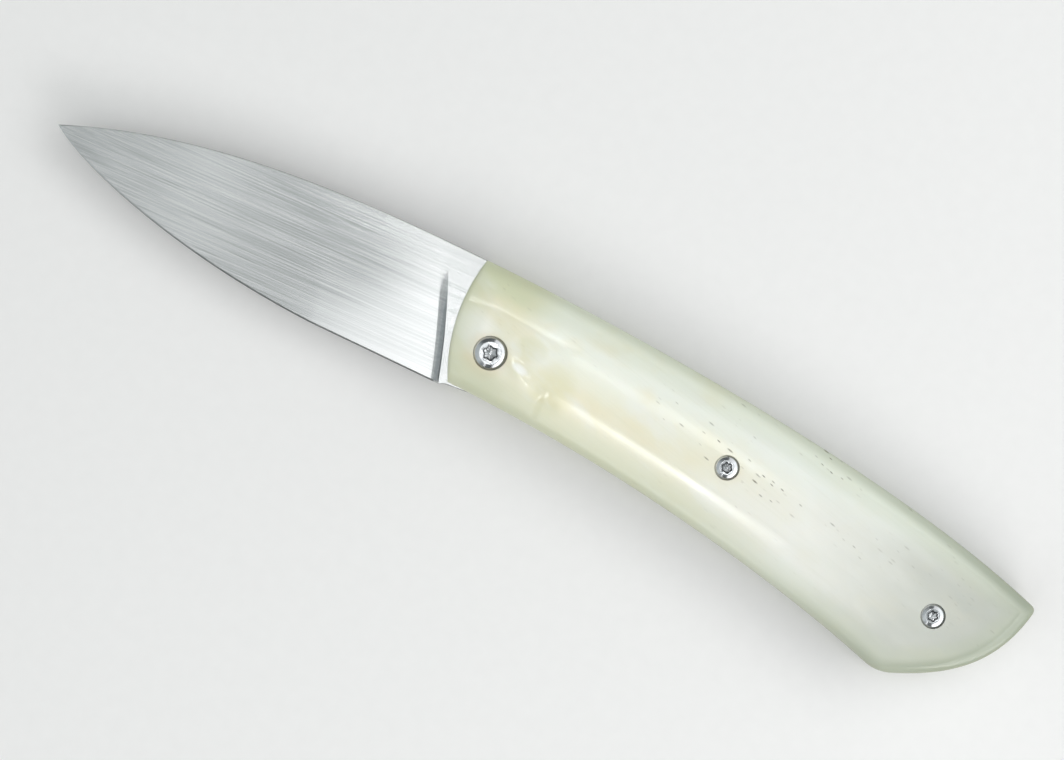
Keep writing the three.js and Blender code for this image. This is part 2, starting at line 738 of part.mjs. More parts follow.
// A piece drawn for the left side, and its mirror image on the right.
function addPair(name, body, material, at = origin, height = 0) {
  add(`${name}_left`, body, material()).position.set(at.x, at.y, height);
  const right = add(`${name}_right`, body, material());
  right.position.set(at.x, at.y, -height);
  right.scale.z = -1;
}

add("blade", blade(), satinSteel());
add("backspring", backspring(), linerSteel());
addPair("liner", liner(), linerSteel);
addPair("scale", scale(), bone);

// The pivot: a threaded barrel through the liners, a bushing that the blade turns on,
// a washer on each side of the blade and a screw from each side.
add("pivot_barrel", ring(pivotBarrelRadius, pivotBoreRadius, -linerOutside, linerOutside),
  polishedSteel());
add("pivot_bushing", ring(bushingRadius, pivotBarrelRadius + turningFit,
  -linerInside, linerInside), bronze());
const washerBore = bladeHoleRadius + turningFit;
addPair("pivot_washer", ring(washerBore + washerWidth, washerBore,
  linerInside - washerThickness, linerInside), bronze);
const pivotSeat = seatHeight(origin, pivotHeadHeight);
const pivotScrew = screw(pivotShankRadius, pivotSeat - linerOutside + pivotScrewGrip,
  pivotHeadRadius, pivotHeadHeight, pivotDriveRadius);
addPair("pivot_screw", pivotScrew, polishedSteel, origin, pivotSeat);

// The backspring's pin, and the barrel and screws that hold its tail block.
add("spring_pin", rod(springPinRadius, -linerOutside, linerOutside, springPinAt),
  polishedSteel());
add("tail_barrel", ring(tailBarrelRadius, tailBoreRadius, -linerOutside, linerOutside,
  tailScrewAt), polishedSteel());
const tailSeat = seatHeight(tailScrewAt, smallHeadHeight);
const tailScrew = screw(smallShankRadius, tailSeat - linerOutside + tailScrewGrip,
  smallHeadRadius, smallHeadHeight, smallDriveRadius);
addPair("tail_screw", tailScrew, polishedSteel, tailScrewAt, tailSeat);

// The centre screws stop inside the liners, clear of the closed blade.
const centreSeat = seatHeight(centreScrewAt, smallHeadHeight);
const centreScrew = screw(smallShankRadius, centreSeat - linerInside - centreScrewEndGap,
  smallHeadRadius, smallHeadHeight, smallDriveRadius);
addPair("centre_screw", centreScrew, polishedSteel, centreScrewAt, centreSeat);

// The origin goes under the middle of the knife.
const box = new THREE.Box3().setFromObject(knife);
const middle = box.getCenter(new THREE.Vector3());
knife.position.set(-middle.x, -middle.y, -box.min.z);

export default knife;
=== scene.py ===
# A folding pocket knife with bone scales, lying open on a pale surface.
# Sizes are in millimetres and angles in degrees. Points are drawn round the blade's
# pivot: x runs towards the handle's tail, y towards its back, and z from the middle
# plane of the blade to the left side. They are moved into the frame when a piece is made.
# The stage's lamps are in metres, in the frame's own coordinates.
import json
import math

import bmesh
import bpy
import numpy as np
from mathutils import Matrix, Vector
from mathutils.geometry import delaunay_2d_cdt

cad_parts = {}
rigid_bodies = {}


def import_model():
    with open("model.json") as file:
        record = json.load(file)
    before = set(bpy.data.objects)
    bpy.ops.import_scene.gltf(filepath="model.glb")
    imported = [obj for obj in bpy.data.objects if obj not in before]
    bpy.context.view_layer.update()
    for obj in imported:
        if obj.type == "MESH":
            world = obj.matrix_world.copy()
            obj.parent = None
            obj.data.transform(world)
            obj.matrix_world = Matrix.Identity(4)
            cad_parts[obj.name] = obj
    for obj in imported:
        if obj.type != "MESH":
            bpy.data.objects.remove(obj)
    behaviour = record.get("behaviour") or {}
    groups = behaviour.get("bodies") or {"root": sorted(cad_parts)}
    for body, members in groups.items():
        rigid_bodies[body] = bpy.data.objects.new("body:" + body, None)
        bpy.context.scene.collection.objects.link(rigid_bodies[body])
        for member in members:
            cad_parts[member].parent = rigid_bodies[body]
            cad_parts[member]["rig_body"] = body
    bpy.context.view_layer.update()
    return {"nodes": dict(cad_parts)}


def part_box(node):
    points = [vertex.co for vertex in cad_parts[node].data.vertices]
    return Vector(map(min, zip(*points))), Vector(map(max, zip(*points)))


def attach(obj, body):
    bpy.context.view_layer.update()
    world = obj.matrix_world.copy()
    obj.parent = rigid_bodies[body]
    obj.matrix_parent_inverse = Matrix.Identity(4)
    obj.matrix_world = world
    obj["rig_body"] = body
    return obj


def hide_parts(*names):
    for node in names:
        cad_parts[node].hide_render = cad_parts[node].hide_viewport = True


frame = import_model()

MM = 0.001

# Blade
TIP = np.array([-78.4, 2.2])
BLADE_BACK_PULL = 24
BLADE_BACK_TIP_ANGLE = 203.8
HEEL = np.array([-5.36, -8.1])  # where the cutting edge starts
EDGE_STRAIGHT = np.array([-22.6, -0.3])  # its straight stretch
EDGE_BELLY_ANGLE = 179
EDGE_BELLY_PULL = 27
EDGE_TIP_PULL = 5.2
EDGE_TIP_ANGLE = 141.5
EDGE_BEVEL_HEIGHT = 0.28
EDGE_BEVEL_THICKNESS = 0.26
PLUNGE_TOP_X = -13.98
PLUNGE_RADIUS = 1.4  # its hollow, at the heel and at the top
PLUNGE_TOP_RADIUS = 1.7
PLUNGE_BOW = 0.55  # how far the line bends from straight, towards the handle
PLUNGE_KNEE = 0.77  # the share of the blade's height where the grind meets its flat
PLUNGE_BLEND = 0.5  # the share of the blade's length over which both fade out
KNEE_SHARPNESS = 16
KNEE_OVERLAP = 1.02  # so that the flat is quite flat above the knee
HOLLOW_SHADE_DEPTH = 0.4  # where the hollow is this deep, its painted shade is darkest
POINT_HEIGHT = 4 * EDGE_BEVEL_HEIGHT  # the edge gets finer where the blade is lower
LEAST_HEIGHT = 1e-4  # so that nothing is divided by 0 at the point
MOST_BEVEL_SHARE, MOST_CHAMFER_SHARE = 0.4, 0.2  # of the blade's height
# Where the blade is lower than this, the bevel of its back takes a share of the thickness,
# this many times the share that it takes of the height, and leaves at least the last.
NARROW_HEIGHT, NARROW_BEVEL, LEAST_SPINE_SHARE = 1.0, 3, 0.6
TANG_FLAT_HEIGHT = 7.15
TANG_CORNER_RISE = 0.7
TANG_STEP_X = -6.7
HEEL_STEP = 0.96
CLOSED_ANGLE = 174

# Handle outline
BACK_HEIGHT = 13.1
FRONT_LOW = np.array([-4.1, -7.15])
FRONT_HIGH = np.array([-7.0, BACK_HEIGHT])
FRONT_RADIUS = 29.8
TIP_SWING = math.hypot(*TIP)
TAIL_LOW = np.array([TIP_SWING - 0.85, -18.4])
TAIL_HIGH = np.array([TIP_SWING + 17.8, 1.9])
BACK_HEADINGS = ((0.6, 10.4), (-17.5, 36))  # heading and pull at the front and the tail
BELLY_HEADINGS = ((-0.1, 39.5), (-18.8, 8.2))
TAIL_HEADINGS = ((22, 9.7), (82, 12.3))
HEEL_ROUNDING = 2.6
TAIL_ROUNDING = 0.9

# Relief of the scales, as shares of the handle's width from the belly and of its
# length from the front end
BELLY_SHOULDER = 0.373
BELLY_SHOULDER_RISE = 0.04  # it climbs towards the tail
BELLY_CLIMBS = (0.4, 0.75)
BELLY_SHARPENS = (0.175, 0.19)
BACK_SHOULDER = 0.70
BACK_SHOULDER_DIP = 0.055  # it is lower where it meets the front end
BACK_DIP_END = 0.06
BACK_SHOULDER_FALL = 0.13  # and it drops and softens further back
BACK_SOFTENS = (0.1, 0.25)
FRONT_SHOULDER = 0.20
TAIL_SHOULDER = 0.66
BELLY_FACET_FALL = 0.7
BACK_FACET_FALL = 0.75
FRONT_FALL = 0.8
TAIL_FALL = 0.8
CRISP_POWER = 1.3
SOFT_POWER = 2.0
RAMP_POWER = 1.5
SIDE_ROUNDING = (2.4, 0.85)  # reach and fall
TAIL_EDGE_ROUNDING = (2.2, 0.7)
FRONT_EDGE_ROUNDING = (0.8, 0.2)
ROUNDING_POWER = 2.4
SWELL_AT = np.array([5.05, -0.7])  # a low swell beside the pivot screw
SWELL_HEIGHT = 0.2
SWELL_REACH = np.array([1.6, 0.8])  # along its heading and across it
SWELL_HEADING = -30

# Backspring
SPRING_FLEX_DEPTH = 3.9
SPRING_RELIEF_RUN = 1.6
SPRING_HEEL_GAP = 0.25
SPRING_SEAT_GAP = 0.02
SPRING_END_GAP = 0.2
SPRING_SHOULDER = 7
SPRING_BOSS = 2.8
CLOSED_EDGE_GAP = 1.5
CLOSED_TIP_GAP = 1.0

# Screws: the head's height, the socket's radius, the flat's share of the head's radius
# and the shank's radius
PIVOT_SHANK_RADIUS, SMALL_SHANK_RADIUS = 1.5, 1.0
PIVOT_SCREW = (1.6, 1.25, 0.67, PIVOT_SHANK_RADIUS)
SMALL_SCREW = (1.3, 0.88, 0.6, SMALL_SHANK_RADIUS)
DRIVE_DEPTH = 0.9
DOME_START_ANGLE = 20
DOME_SHOULDER_SHARE = 0.85  # how far out the dome keeps its first slope
DOME_FOOT_SHARE = 0.75  # of the head's height
HEAD_SIDE_GAP = 0.06
SHANK_GAP = 0.12
RIM_CHAMFER = 0.05
HEAD_CHAMFER = 0.05
SHANK_CHAMFER_SHARE = 0.2
LOBES = 6
LOBE_DEPTH = 0.1  # of the socket's radius, as are the next three lines
FLOOR_RINGS = (0.35, 0.8)
WALL_RINGS = (0.88, 0.98)  # it widens towards its mouth
FLOOR_DISH = (0.15, 0.06)  # in the middle and at the first ring
FLOOR_LOBE_POWER = 0.3  # the first ring is nearly round
FLOOR_ROUNDING = 0.05
WALL_TOP = 0.3  # below the head's flat, as are the mouth's two rings
MOUTH_RINGS, MOUTH_WIDENING = (0.07, 0.01), 0.05
LIP_LOBE_SHARE, LIP_WIDTH = 0.65, 0.1
FLAT_MARGIN = 0.04
FLOOR_SHADES = (0.1, 0.3, 0.35)  # how much painted shade each part of the screw has, which also roughens it: 0 is none, 1 is the most
WALL_SHADE, LIP_SHADE, DOME_SHADE, SHANK_SHADE, END_SHADE = 1.0, 0.4, 0.12, 0.6, 0.4
DOME_SHADE_SPAN = (0.3, 0.9)

# Small bevels and gaps
PLATE_CHAMFER = 0.1  # also of turned pieces
TANG_CHAMFER = 0.12
BONE_CHAMFER = 0.08
WASHER_CHAMFER = 0.03
PRESS_GAP = 0.04  # round barrels and pins in their plates
FIT_GAP = 0.05  # between pieces that turn or screw into each other
WASHER_GAP = 0.1
WALL_FADE = 0.9  # how fast the painted edge shade fades down the scale's side walls

# Fineness
DENSE = 2001
ROUND = 96
ROUND_ANGLES = np.linspace(0, 2 * math.pi, ROUND, endpoint=False)
OUTLINE_STEP = 0.6
CORNER_STEPS = 12
TANG_BACK_STEPS, TANG_ROUND_STEPS = 9, 61
RIB_STEPS = 26
HOLLOW_RIBS = 24
GRIND_RIBS = 150
SHARP_ANGLE, BLADE_SHARP_ANGLE, SCREW_SHARP_ANGLE = 28, 6, 22
SPRING_BEND_STEPS = 25
SPRING_PATH_STEPS = 20
DOME_STEPS = 17
# Rows of points on the scale's face, as from, to and count. They lie close together along
# the edges and the two shoulders.
FACE_COLUMNS = ((0.002, 0.02, 7), (0.025, 0.975, 210), (0.98, 0.998, 7))
FACE_ROWS = (
    (0.006, 0.12, 14), (0.12, 0.26, 8), (0.26, 0.41, 26), (0.41, 0.66, 10),
    (0.66, 0.76, 12), (0.76, 0.88, 6), (0.88, 0.994, 14))
FACE_RIM_GAP, FACE_HOLE_GAP = 0.06, 0.12
WELD = 1e-7  # points nearer than this, in metres, are one


# Places taken from the frame


def centre_and_size(cad):
    low, high = (np.array(corner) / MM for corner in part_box(cad))
    return (low + high) / 2, high - low


PIVOT = centre_and_size("pivot_barrel")[0]


def heights(cad):
    centre, size = centre_and_size(cad)
    return centre[2] - size[2] / 2 - PIVOT[2], centre[2] + size[2] / 2 - PIVOT[2]


def place(cad):
    return (centre_and_size(cad)[0] - PIVOT)[:2]


def radius(cad):
    return centre_and_size(cad)[1][0] / 2


BLADE_HALF = heights("blade")[1]
LINER_LOW, LINER_HIGH = heights("liner_left")
SCALE_HIGH = heights("scale_left")[1]
PIVOT_AT = np.zeros(2)
CENTRE_SCREW_AT = place("centre_screw_left")
TAIL_SCREW_AT = place("tail_screw_left")
SPRING_PIN_AT = place("spring_pin")
BARREL_RADIUS = radius("pivot_barrel")
BUSHING_RADIUS = radius("pivot_bushing")
TAIL_BARREL_RADIUS = radius("tail_barrel")
PIN_RADIUS = radius("spring_pin")
SCREWS = (
    ("pivot", PIVOT_AT, *PIVOT_SCREW),
    ("centre", CENTRE_SCREW_AT, *SMALL_SCREW),
    ("tail", TAIL_SCREW_AT, *SMALL_SCREW),
)


# Curves, each a close run of points


def polar(length, angles):
    """Points at a length, or each at its own, on headings given in radians."""
    return np.reshape(length, (-1, 1)) * np.column_stack([np.cos(angles), np.sin(angles)])


def heading(length, angle):
    return polar(length, [math.radians(angle)])[0]


def quadratic(a, b, c, t):
    return (1 - t) ** 2 * a + 2 * t * (1 - t) * b + t**2 * c


def cubic(a, b, c, d, t):
    return (1 - t) ** 3 * a + 3 * t * (1 - t) ** 2 * b + 3 * t**2 * (1 - t) * c + t**3 * d


def sweep(start, start_angle, start_pull, end, end_angle, end_pull):
    first, last = heading(start_pull, start_angle), heading(end_pull, end_angle)
    return cubic(start, start + first, end - last, end, np.linspace(0, 1, DENSE)[:, None])


def arc_between(start, end, arc_radius):
    """An arc that bulges to the left of the way from start to end."""
    chord = end - start
    length = math.hypot(*chord)
    right = np.array([chord[1], -chord[0]]) / length
    centre = (start + end) / 2 + right * math.sqrt(arc_radius**2 - (length / 2) ** 2)
    first, last = np.unwrap([math.atan2(*(p - centre)[::-1]) for p in (start, end)])
    return centre + polar(arc_radius, np.linspace(first, last, DENSE))


def lengths_along(curve):
    steps = np.hypot(*np.diff(curve, axis=0).T)
    return np.concatenate([[0], np.cumsum(steps)])


def at_length(curve, where):
    lengths = lengths_along(curve)
    return np.column_stack([np.interp(where, lengths, curve[:, i]) for i in (0, 1)])


def at_share(curve, share):
    return at_length(curve, np.asarray(share) * lengths_along(curve)[-1])


def height_at(curve, x):
    order = np.argsort(curve[:, 0])
    return np.interp(x, curve[order, 0], curve[order, 1])


def points_at(curve, xs):
    return np.column_stack([xs, height_at(curve, xs)])


def spaced(start, end, step):
    count = max(2, int(math.ceil(abs(end - start) / step)) + 1)
    return np.linspace(start, end, count)


def turned(points, angle):
    cos, sin = math.cos(math.radians(angle)), math.sin(math.radians(angle))
    return np.asarray(points) @ np.array([[cos, sin], [-sin, cos]])


belly_edge = sweep(FRONT_LOW, *BELLY_HEADINGS[0], TAIL_LOW, *BELLY_HEADINGS[1])
back_edge = sweep(FRONT_HIGH, *BACK_HEADINGS[0], TAIL_HIGH, *BACK_HEADINGS[1])
front_edge = arc_between(FRONT_LOW, FRONT_HIGH, FRONT_RADIUS)
tail_edge = sweep(TAIL_LOW, *TAIL_HEADINGS[0], TAIL_HIGH, *TAIL_HEADINGS[1])
blade_back = sweep(
    np.array([TANG_STEP_X, BACK_HEIGHT]), 180, BLADE_BACK_PULL,
    TIP, BLADE_BACK_TIP_ANGLE, BLADE_BACK_PULL)
edge_curve = sweep(
    HEEL + EDGE_STRAIGHT, EDGE_BELLY_ANGLE, EDGE_BELLY_PULL,
    TIP, EDGE_TIP_ANGLE, EDGE_TIP_PULL)
cutting_edge = np.vstack([HEEL, edge_curve])


def corner_between(before, corner, after):
    return quadratic(
        before, corner, after, np.linspace(0, 1, CORNER_STEPS + 1)[1:-1, None])


def handle_outline():
    """The handle's outline, anticlockwise from the belly's front corner."""
    lengths = [lengths_along(c)[-1] for c in (belly_edge, tail_edge, back_edge, front_edge)]
    belly = at_length(belly_edge, spaced(0, lengths[0] - HEEL_ROUNDING, OUTLINE_STEP))
    tail = at_length(
        tail_edge, spaced(HEEL_ROUNDING, lengths[1] - TAIL_ROUNDING, OUTLINE_STEP))
    back = at_length(back_edge, spaced(lengths[2] - TAIL_ROUNDING, 0, OUTLINE_STEP))
    front = at_length(front_edge, spaced(lengths[3], 0, OUTLINE_STEP))
    return np.vstack([
        belly,
        corner_between(belly[-1], TAIL_LOW, tail[0]),
        tail,
        corner_between(tail[-1], TAIL_HIGH, back[0]),
        back,
        front[1:-1],
    ])


outline = handle_outline()


def circle(circle_radius, at=(0, 0)):
    return np.asarray(at) + polar(circle_radius, ROUND_ANGLES)


def offset(loop, distance):
    """An anticlockwise loop moved inwards, with its corners kept sharp."""
    before, after = np.roll(loop, 1, axis=0), np.roll(loop, -1, axis=0)

    def inward(step):
        step = step / np.hypot(*step.T)[:, None]
        return np.column_stack([-step[:, 1], step[:, 0]])

    a, b = inward(loop - before), inward(after - loop)
    middle = a + b
    middle /= (middle * a).sum(axis=1)[:, None]
    return loop + middle * distance


def inside(points, loop):
    """Whether each point lies in the loop."""
    x, y = points[:, :1], points[:, 1:]
    ax, ay = loop.T
    bx, by = np.roll(loop, -1, axis=0).T
    with np.errstate(divide="ignore", invalid="ignore"):
        crossing = ((ay > y) != (by > y)) & (x < (bx - ax) * (y - ay) / (by - ay) + ax)
    return crossing.sum(axis=1) % 2 == 1


def distance_to(points, loop):
    """Each point's distance to the nearest side of the loop."""
    start, end = loop, np.roll(loop, -1, axis=0)
    way = end - start
    best = np.full(len(points), np.inf)
    for a, w in zip(start, way):
        share = np.clip(((points - a) @ w) / (w @ w), 0, 1)
        best = np.minimum(best, np.hypot(*(points - a - share[:, None] * w).T))
    return best


# The handle's side as a patch between its four edges


def side_point(u, v):
    u, v = np.atleast_1d(u), np.atleast_1d(v)
    low, high = at_share(belly_edge, u), at_share(back_edge, u)
    left, right = at_share(front_edge, v), at_share(tail_edge, v)
    u, v = u[:, None], v[:, None]
    across = low + (high - low) * v
    lengthways = left + (right - left) * u
    low_corner = FRONT_LOW + (TAIL_LOW - FRONT_LOW) * u
    high_corner = FRONT_HIGH + (TAIL_HIGH - FRONT_HIGH) * u
    return across + lengthways - (low_corner + (high_corner - low_corner) * v)


def shares_at(points, step=1e-4, rounds=12):
    """The patch's two shares at each point, found by Newton's method."""
    points = np.asarray(points)
    u = (points[:, 0] - FRONT_LOW[0]) / (TAIL_HIGH[0] - FRONT_LOW[0])
    v = np.full(len(points), 0.5)
    for _ in range(rounds):
        u, v = np.clip(u, 0, 1 - step), np.clip(v, 0, 1 - step)
        here = side_point(u, v)
        du = (side_point(u + step, v) - here) / step
        dv = (side_point(u, v + step) - here) / step
        miss = points - here
        area = du[:, 0] * dv[:, 1] - du[:, 1] * dv[:, 0]
        u = u + (miss[:, 0] * dv[:, 1] - miss[:, 1] * dv[:, 0]) / area
        v = v + (du[:, 0] * miss[:, 1] - du[:, 1] * miss[:, 0]) / area
    return np.clip(u, 0, 1), np.clip(v, 0, 1)


def smooth(low, high, value):
    t = np.clip((value - low) / (high - low), 0, 1)
    return t * t * (3 - 2 * t)


def scale_height(points):
    """The scale's outer face: a flat land with a facet to the belly and the back, a
    ramp to the front end and the tail, and rounded edges."""
    u, v = shares_at(points)
    width = np.hypot(*(at_share(back_edge, u) - at_share(belly_edge, u)).T)
    length = np.hypot(*(side_point(np.ones_like(v), v) - side_point(np.zeros_like(v), v)).T)

    def share_past(start, end, value):
        return np.clip((value - start) / (end - start), 0, 1)

    back_power = CRISP_POWER + (SOFT_POWER - CRISP_POWER) * smooth(*BACK_SOFTENS, u)
    belly_power = SOFT_POWER + (CRISP_POWER - SOFT_POWER) * smooth(*BELLY_SHARPENS, u)
    belly_shoulder = BELLY_SHOULDER + BELLY_SHOULDER_RISE * smooth(*BELLY_CLIMBS, u)
    back_shoulder = BACK_SHOULDER - BACK_SHOULDER_FALL * smooth(*BACK_SOFTENS, u)
    back_shoulder = back_shoulder - BACK_SHOULDER_DIP * (1 - smooth(0, BACK_DIP_END, u))
    facets = (
        BELLY_FACET_FALL * share_past(belly_shoulder, 0, v) ** belly_power
        + BACK_FACET_FALL * share_past(back_shoulder, 1, v) ** back_power
        + FRONT_FALL * share_past(FRONT_SHOULDER, 0, u) ** RAMP_POWER
        + TAIL_FALL * share_past(TAIL_SHOULDER, 1, u) ** RAMP_POWER
    )
    roundings = 0
    for gap, (reach, fall) in (
        (v * width, SIDE_ROUNDING),
        ((1 - v) * width, SIDE_ROUNDING),
        (u * length, FRONT_EDGE_ROUNDING),
        ((1 - u) * length, TAIL_EDGE_ROUNDING),
    ):
        rounding = fall * share_past(reach, 0, gap) ** ROUNDING_POWER
        roundings = roundings + rounding**2
    off_swell = turned(points - SWELL_AT, -SWELL_HEADING) / SWELL_REACH
    swell = SWELL_HEIGHT * np.exp(-(off_swell**2).sum(axis=1) / 2)
    return SCALE_HIGH - facets - np.sqrt(roundings) + swell


# Meshes


class Shell:
    """A closed surface put together from rings of points."""

    def __init__(self):
        self.points = []
        self.faces = []

    def add(self, xy, z):
        xy = np.atleast_2d(xy)
        first = len(self.points)
        z = np.broadcast_to(z, len(xy))
        self.points.extend((x, y, height) for (x, y), height in zip(xy, z))
        return list(range(first, first + len(xy)))

    def face(self, *corners):
        kept = list(dict.fromkeys(corners))
        if len(kept) > 2:
            self.faces.append(kept)

    def strip(self, one, other):
        for a, b, c, d in zip(one, one[1:], other[1:], other):
            self.face(a, b, c, d)

    def bridge(self, one, other):
        self.strip(one + one[:1], other + other[:1])

    def stack(self, rows):
        for one, other in zip(rows, rows[1:]):
            self.bridge(one, other)

    def cap(self, rings, inner=()):
        """Fills the first ring, less the others, with triangles through inner points."""
        places = np.array(self.points)[:, :2]
        used, regions = [], []
        for ring in rings:
            x, y = places[ring].T
            forwards = np.sum(x * np.roll(y, -1) - y * np.roll(x, -1)) > 0
            regions.append(list(range(len(used), len(used) + len(ring))))
            used += ring if forwards else ring[::-1]
        used += list(inner)
        flat = [Vector(places[i]) for i in used]
        inside_with_holes = 2
        _, _, triangles, origins, _, _ = delaunay_2d_cdt(
            flat, [], regions, inside_with_holes, WELD)
        self.faces += [[used[origins[i][0]] for i in corners] for corners in triangles]

    def mirrored(self):
        other = Shell()
        other.points = [(x, y, -z) for x, y, z in self.points]
        other.faces = self.faces
        return other


def make_piece(cad, word, shell, slot, sharp_angle=SHARP_ANGLE, grain=None, **values):
    """The piece that stands for a CAD node and moves with its body. Each value is kept
    point by point. A grain angle makes a map whose U runs across the grain."""
    name = f"{cad}_{word}"
    mesh = bpy.data.meshes.new(name)
    places = (np.array(shell.points) + PIVOT) * MM
    mesh.from_pydata(places.tolist(), [], shell.faces)
    for key, per_point in values.items():
        attribute = mesh.attributes.new(key, "FLOAT", "POINT")
        attribute.data.foreach_set("value", np.asarray(per_point, dtype=np.float32))
    built = bmesh.new()
    built.from_mesh(mesh)
    bmesh.ops.remove_doubles(built, verts=built.verts, dist=WELD)
    bmesh.ops.dissolve_degenerate(built, edges=built.edges, dist=WELD / 10)
    bmesh.ops.recalc_face_normals(built, faces=built.faces)
    open_edges = [e for e in built.edges if len(e.link_faces) != 2]
    if open_edges:
        raise ValueError(f"{name} has {len(open_edges)} edges that don't join two faces")
    built.to_mesh(mesh)
    built.free()
    if grain is not None:
        across = np.empty(len(mesh.vertices) * 3)
        mesh.vertices.foreach_get("co", across)
        across = turned(across.reshape(-1, 3)[:, :2], 90 - grain)
        corners = np.empty(len(mesh.loops), dtype=np.int32)
        mesh.loops.foreach_get("vertex_index", corners)
        grain_map = mesh.uv_layers.new(name="grain")
        grain_map.data.foreach_set("uv", across[corners].ravel())
    mesh.shade_smooth()
    mesh.set_sharp_from_angle(angle=math.radians(sharp_angle))
    mesh.materials.append(materials[slot])
    piece = bpy.data.objects.new(name, mesh)
    bpy.context.scene.collection.objects.link(piece)
    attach(piece, frame["nodes"][cad]["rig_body"])
    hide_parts(cad)


def plate(loop, holes, low, high):
    """A flat plate with bevelled edges. The loop runs anticlockwise, and so do holes."""
    shell = Shell()
    top, bottom = [], []
    for ring, inwards in ((loop, 1), *((hole, -1) for hole in holes)):
        inset = offset(ring, inwards * PLATE_CHAMFER)
        rows = [
            shell.add(inset, high),
            shell.add(ring, high - PLATE_CHAMFER),
            shell.add(ring, low + PLATE_CHAMFER),
            shell.add(inset, low),
        ]
        shell.stack(rows)
        top.append(rows[0])
        bottom.append(rows[-1])
    shell.cap(top)
    shell.cap(bottom)
    return shell


def lathe(profile, at=(0, 0)):
    """A turned piece from (radius, height) pairs. It is open through the middle where
    the profile comes back to its start, and closed at radius 0."""
    shell = Shell()
    rows = []
    for row_radius, z in profile:
        if row_radius == 0:
            rows.append(shell.add([at], z) * ROUND)
        else:
            rows.append(shell.add(circle(row_radius, at), z))
    shell.stack(rows)
    if profile[0][0]:
        shell.bridge(rows[-1], rows[0])
    return shell


def tube(outer, bore, low, high, at=(0, 0), chamfer=PLATE_CHAMFER):
    return lathe([
        (outer, low + chamfer), (outer, high - chamfer), (outer - chamfer, high),
        (bore + chamfer, high), (bore, high - chamfer), (bore, low + chamfer),
        (bore + chamfer, low), (outer - chamfer, low),
    ], at)


# Blade


def closed_flat_end():
    heel_on_flat = turned([HEEL], CLOSED_ANGLE)[0][0] - HEEL_STEP
    return turned([[heel_on_flat, TANG_FLAT_HEIGHT]], -CLOSED_ANGLE)[0]


def tang_path():
    """The tang's outline from the plunge line's top round to the heel."""
    corner_radius = TANG_FLAT_HEIGHT + TANG_CORNER_RISE
    flat_reach = math.sqrt(corner_radius**2 - TANG_FLAT_HEIGHT**2)
    open_corner = np.array([flat_reach, TANG_FLAT_HEIGHT])
    closed_corner = turned([[-flat_reach, TANG_FLAT_HEIGHT]], -CLOSED_ANGLE)[0]
    first, last = (math.atan2(*p[::-1]) for p in (open_corner, closed_corner))
    return np.vstack([
        points_at(blade_back, np.linspace(PLUNGE_TOP_X, TANG_STEP_X, TANG_BACK_STEPS)),
        [[TANG_STEP_X, TANG_FLAT_HEIGHT]],
        [open_corner],
        polar(corner_radius, np.linspace(first, last, TANG_ROUND_STEPS)[1:-1]),
        [closed_corner],
        [closed_flat_end()],
        [HEEL],
    ])


def rib(low_x, high_x, out, along):
    """The edge's point, and points up one side of the ground blade from its bevel to its
    back, with their distance from the middle plane and how much painted shade they have. In
    the hollow at the plunge line, where out is below 1, they curve up to the full thickness.
    Further along towards the tip the ribs lose their bow, and the grind runs to the very back."""
    (low,) = points_at(cutting_edge, [low_x])
    high, plunge_top = points_at(blade_back, [high_x, PLUNGE_TOP_X])
    height, whole = math.hypot(*(high - low)), math.hypot(*(HEEL - plunge_top))
    fine = EDGE_BEVEL_THICKNESS / 2 * min(1, height / POINT_HEIGHT)
    widening = (BLADE_HALF - fine) * height / whole
    hollow = 1 - math.sqrt(1 - (1 - out) ** 2)
    near_plunge = 1 - smooth(0, PLUNGE_BLEND, along)
    bevel = min(EDGE_BEVEL_HEIGHT / max(height, LEAST_HEIGHT), MOST_BEVEL_SHARE)
    chamfer = min(TANG_CHAMFER / max(height, LEAST_HEIGHT), MOST_CHAMFER_SHARE)
    shares = np.concatenate([np.linspace(bevel, 1 - chamfer, RIB_STEPS), [1]])
    kneed = shares / PLUNGE_KNEE
    kneed = kneed / (1 + kneed**KNEE_SHARPNESS) ** (1 / KNEE_SHARPNESS)
    kneed = np.minimum(kneed * KNEE_OVERLAP, 1)
    half = fine + widening * (shares + (kneed - shares) * near_plunge)
    shade = np.minimum((BLADE_HALF - half) / HOLLOW_SHADE_DEPTH, 1) * math.sqrt(1 - out)
    half = half + (BLADE_HALF - half) * hollow
    back = half[-2] - TANG_CHAMFER
    if height < NARROW_HEIGHT:
        back = half[-2] * (1 - NARROW_BEVEL * chamfer)
    half[-1] = max(back, half[-2] * LEAST_SPINE_SHARE)
    at = low + (high - low) * shares[:, None]
    at[:, 0] += PLUNGE_BOW * near_plunge * 4 * shares * (1 - shares)
    return low, at, half, shade if out > 0 else 0 * shade


